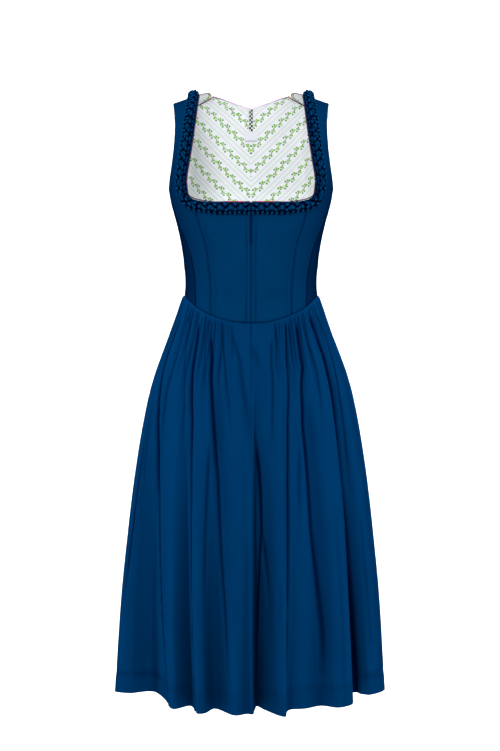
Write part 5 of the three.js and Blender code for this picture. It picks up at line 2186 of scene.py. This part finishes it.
        # Painted shade on the hem's band and along its fold line.
        shade = np.maximum(shade, 0.12 * band + welt(rim - self.hem_depth, self.hem_dark))
        relief -= welt(rim - self.hem_depth, self.hem_groove)
        relief -= welt(drop, self.waist_groove)
        # Painted shade, with the dark seam lines: the cloth darkens towards the waist seam and the side and
        # centre seams.
        nearest = np.minimum(np.abs(drop - self.below_seam) + 0.35, 9.0)
        for seam in (0.0, self.side_turn, 360 - self.side_turn):
            away = np.abs((turn[None] - seam + 180) % 360 - 180) * per_turn
            strength = 0.8 - 0.35 * step_between(drop, 60, 300)
            relief -= strength * bump(away, 1.1)
            relief += self.seam_rise * (1 - step_between(away, 7, 11))
            nearest = np.minimum(nearest, away + 0.25 + 0.6 * step_between(drop, 20, 160))
        return relief, step_between(nearest, 0.1, 1.3) * (1 - shade)

    @staticmethod
    def hollow(outer: Array, normal: Array) -> Array:
        """Finds the troughs, for the painted shade that darkens them.

        Args:
            outer: the cloth's points by row and column.
            normal: the smooth form's normals.

        Returns:
            How deep each point lies, from 0 on a crest to 1.
        """
        total = np.zeros(outer.shape[:2])
        for reach, scale, weight in ((2, 1.0, 0.45), (7, 5.0, 0.18)):
            kernel = np.exp(-((np.arange(-2 * reach, 2 * reach + 1) / reach) ** 2))
            mean = sum(weight_k * np.roll(outer, k, axis=1) for k, weight_k in zip(
                range(-2 * reach, 2 * reach + 1), kernel / kernel.sum()))
            total += weight * np.clip(((mean - outer) * normal).sum(-1) / scale, 0, 1)
        return np.clip(total, 0, 1)

    def build(self) -> None:
        """Makes the three panels and the hem's stitches."""
        turn = self.turn
        point = self.base(turn[None], self.share[:, None])
        ring = lambda grid: np.concatenate([grid[:, -1:], grid, grid[:, :1]], 1)
        along = np.gradient(ring(point), axis=1)[:, 1:-1]
        down = np.gradient(point, axis=0)
        normal = unit(np.cross(down, along))
        relief, lit = self.relief(turn, self.share, point)
        outer = point + normal * relief[..., None]
        # Painted shade in the troughs.
        lit = lit * (1 - self.hollow(outer, normal))
        side = int(np.argmin(np.abs(turn - self.side_turn)))
        back = self.columns - side
        up = slice(None, None, -1)
        u = self.full_width * np.arange(self.columns + 1) / self.columns
        outer = np.concatenate([outer, outer[:, :1]], 1)
        lit = np.concatenate([lit, lit[:, :1]], 1)
        plan = (
            ("skirt_front_left", 0, side, (0.60, 0.66), ("front_centre_left_cloth", "front_side_left_cloth")),
            ("skirt_back", side, back, (1.15, 0.70), ("back_left_cloth", "back_right_cloth")),
            ("skirt_front_right", back, self.columns, (0.60, 0.66),
             ("front_centre_right_cloth", "front_side_right_cloth")),
        )
        for name, low, high, cut, rests in plan:
            block = outer[up, low : high + 1]
            net = Net(block.reshape(-1, 3), grid_faces(*block.shape[:2]))
            flat = places(u[None, low : high + 1], block[..., 2]).reshape(-1, 2) * MM
            values = {"cloth": flat, "lit": lit[up, low : high + 1].ravel()}
            piece = make_shell(f"{name}_cloth", net, net.places, self.wall, self.cloth, values)
            hand_over(piece, "skirt_cloth", name)
            state_cut(piece, net, net.places, cut, list(rests))
        self._hem_stitches(outer)

    def _hem_stitches(self, outer: Array) -> None:
        """Sews the row of stitches that holds the hem.

        Args:
            outer: the cloth's points by row and column, closed round.
        """
        full = FORM.waistline(np.append(self.turn, 360.0)) + self.below_seam - self.hem
        wanted = 1 - self.hem_depth / full
        row = np.array([[np.interp(w, self.share, outer[:, k, axis]) for axis in range(3)]
                        for k, w in enumerate(wanted)])
        length = run_along(row)
        even = np.arange(0, length[-1], 3.6)
        points = np.stack([np.interp(even, length, row[:, axis]) for axis in range(3)], -1)
        ahead = unit(np.gradient(points, axis=0))
        out = unit(np.cross(ahead, np.array([0.0, 0.0, 1.0])))
        sew("hem_stitches", [{"point": points + out * 0.1, "along": ahead}], self.thread, "skirt_cloth",
            Length=2.2 * MM, Thickness=0.5 * MM)


# ---------------------------------------------------------------- the studio


@dataclass(frozen=True)
class AreaLight:
    """A soft studio light."""

    name: str
    place: Triple
    aim: Triple
    power: float
    size: Pair


LIGHTS = (
    AreaLight("key", (-0.5, -3.8, 1.3), (0.0, 0.0, -0.5), 118.0, (1.2, 1.2)),
    AreaLight("fill", (1.4, -3.4, 0.2), (0.0, 0.0, -0.6), 19.0, (1.6, 2.0)),
    AreaLight("top", (0.0, -0.4, 2.4), (0.0, 0.0, -0.3), 12.0, (1.4, 1.4)),
    AreaLight("back_left", (2.4, 0.6, 2.2), (0.0, 3.4, -0.8), 210.0, (1.6, 1.6)),
    AreaLight("back_right", (-2.4, 0.6, 2.2), (0.0, 3.4, -0.8), 210.0, (1.6, 1.6)),
)


@dataclass
class Studio:
    """The camera, the lights and a plain pale floor that sweeps up behind the dress."""

    floor_height: float = -1.37
    camera_place: Triple = (-0.00178, -3.0, -0.4957)
    lens: float = 80.8
    world_strength: float = 0.45
    sweep_start: float = 3.0
    sweep_radius: float = 1.5

    def build(self) -> None:
        """Sets up the whole studio."""
        scene = bpy.context.scene
        data = bpy.data.cameras.new("camera")
        data.lens, data.sensor_width, data.sensor_fit = self.lens, 36.0, "AUTO"
        data.clip_start, data.clip_end = 0.05, 60.0
        camera = bpy.data.objects.new("camera", data)
        camera.location, camera.rotation_euler = self.camera_place, (math.pi / 2, 0.0, 0.0)
        scene.collection.objects.link(camera)
        scene.camera = camera
        scene.view_settings.view_transform = "Standard"
        world = bpy.data.worlds.new("studio")
        world.use_nodes = True
        sky = world.node_tree.nodes["Background"]
        sky.inputs[0].default_value = (1.0, 1.0, 1.0, 1.0)
        sky.inputs[1].default_value = self.world_strength
        scene.world = world
        for light in LIGHTS:
            self._light(light)
        self._sweep()

    @staticmethod
    def _light(light: AreaLight) -> None:
        """Hangs one light and aims it.

        Args:
            light: its place, aim, power and size.
        """
        data = bpy.data.lights.new(light.name, "AREA")
        data.shape, data.energy = "RECTANGLE", light.power
        data.size, data.size_y = light.size
        lamp = bpy.data.objects.new(light.name, data)
        away = np.array(light.aim) - np.array(light.place)
        flat = math.hypot(away[0], away[1])
        lamp.location = light.place
        lamp.rotation_euler = (math.atan2(flat, -away[2]), 0.0, math.atan2(-away[0], away[1]))
        bpy.context.scene.collection.objects.link(lamp)

    def _sweep(self) -> None:
        """Makes the floor, curving up into a backdrop far behind."""
        start, radius = self.sweep_start, self.sweep_radius
        profile = [(-5.0, 0.0), (start, 0.0)]
        profile += [(start + radius * math.sin(a), radius - radius * math.cos(a))
                    for a in np.linspace(0.15, math.pi / 2, 12)]
        profile += [(start + radius, 5.0)]
        points = [(x, y, z + self.floor_height) for y, z in profile for x in (-6.0, 6.0)]
        faces = [(2 * i, 2 * i + 1, 2 * i + 3, 2 * i + 2) for i in range(len(profile) - 1)]
        mesh = bpy.data.meshes.new("floor")
        mesh.from_pydata(points, [], faces)
        mesh.shade_smooth()
        mesh.materials.append(PaleFloor().material())
        linked("floor", mesh)


# ---------------------------------------------------------------- the dress


@dataclass
class Dirndl:
    """The whole dress."""

    def build(self) -> None:
        """Makes every piece."""
        bodice_cloth = BlueCloth("bodice_twill", (0.0, 0.027, 0.088), (0.0, 0.019, 0.066)).material()
        # A darker copy of the bodice twill for the side panel: painted shade, as that panel turns away from
        # the light.
        side_cloth = BlueCloth("shaded_side_twill", (0.0, 0.017, 0.062), (0.0, 0.010, 0.042)).material()
        skirt_cloth = BlueCloth("skirt_cloth", (0.0, 0.0265, 0.090), (0.0, 0.0195, 0.072), rib=0.8,
                                rib_depth=0.06, roughness=0.55).material()
        printed, tape, thread = PrintedCotton().material(), ZipTape().material(), Thread().material()
        bodice = Bodice(bodice_cloth, side_cloth, printed, tape, thread)
        bodice.build()
        plait = PlaitCloth().material()
        for side in Side:
            Braid(plait, bodice.cut, side).build()
        Trims(CordFinish().material(), PALE_CORD.material(), CheckedRibbon().material(),
              LabelCloth().material(), bodice.cut).build()
        Skirt(skirt_cloth, thread).build()


def main() -> None:
    """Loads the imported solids, dresses them and sets the studio."""
    logging.basicConfig(level=logging.INFO, format="%(name)s: %(message)s")
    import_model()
    Dirndl().build()
    Studio().build()


if __name__ == "__main__":
    main()
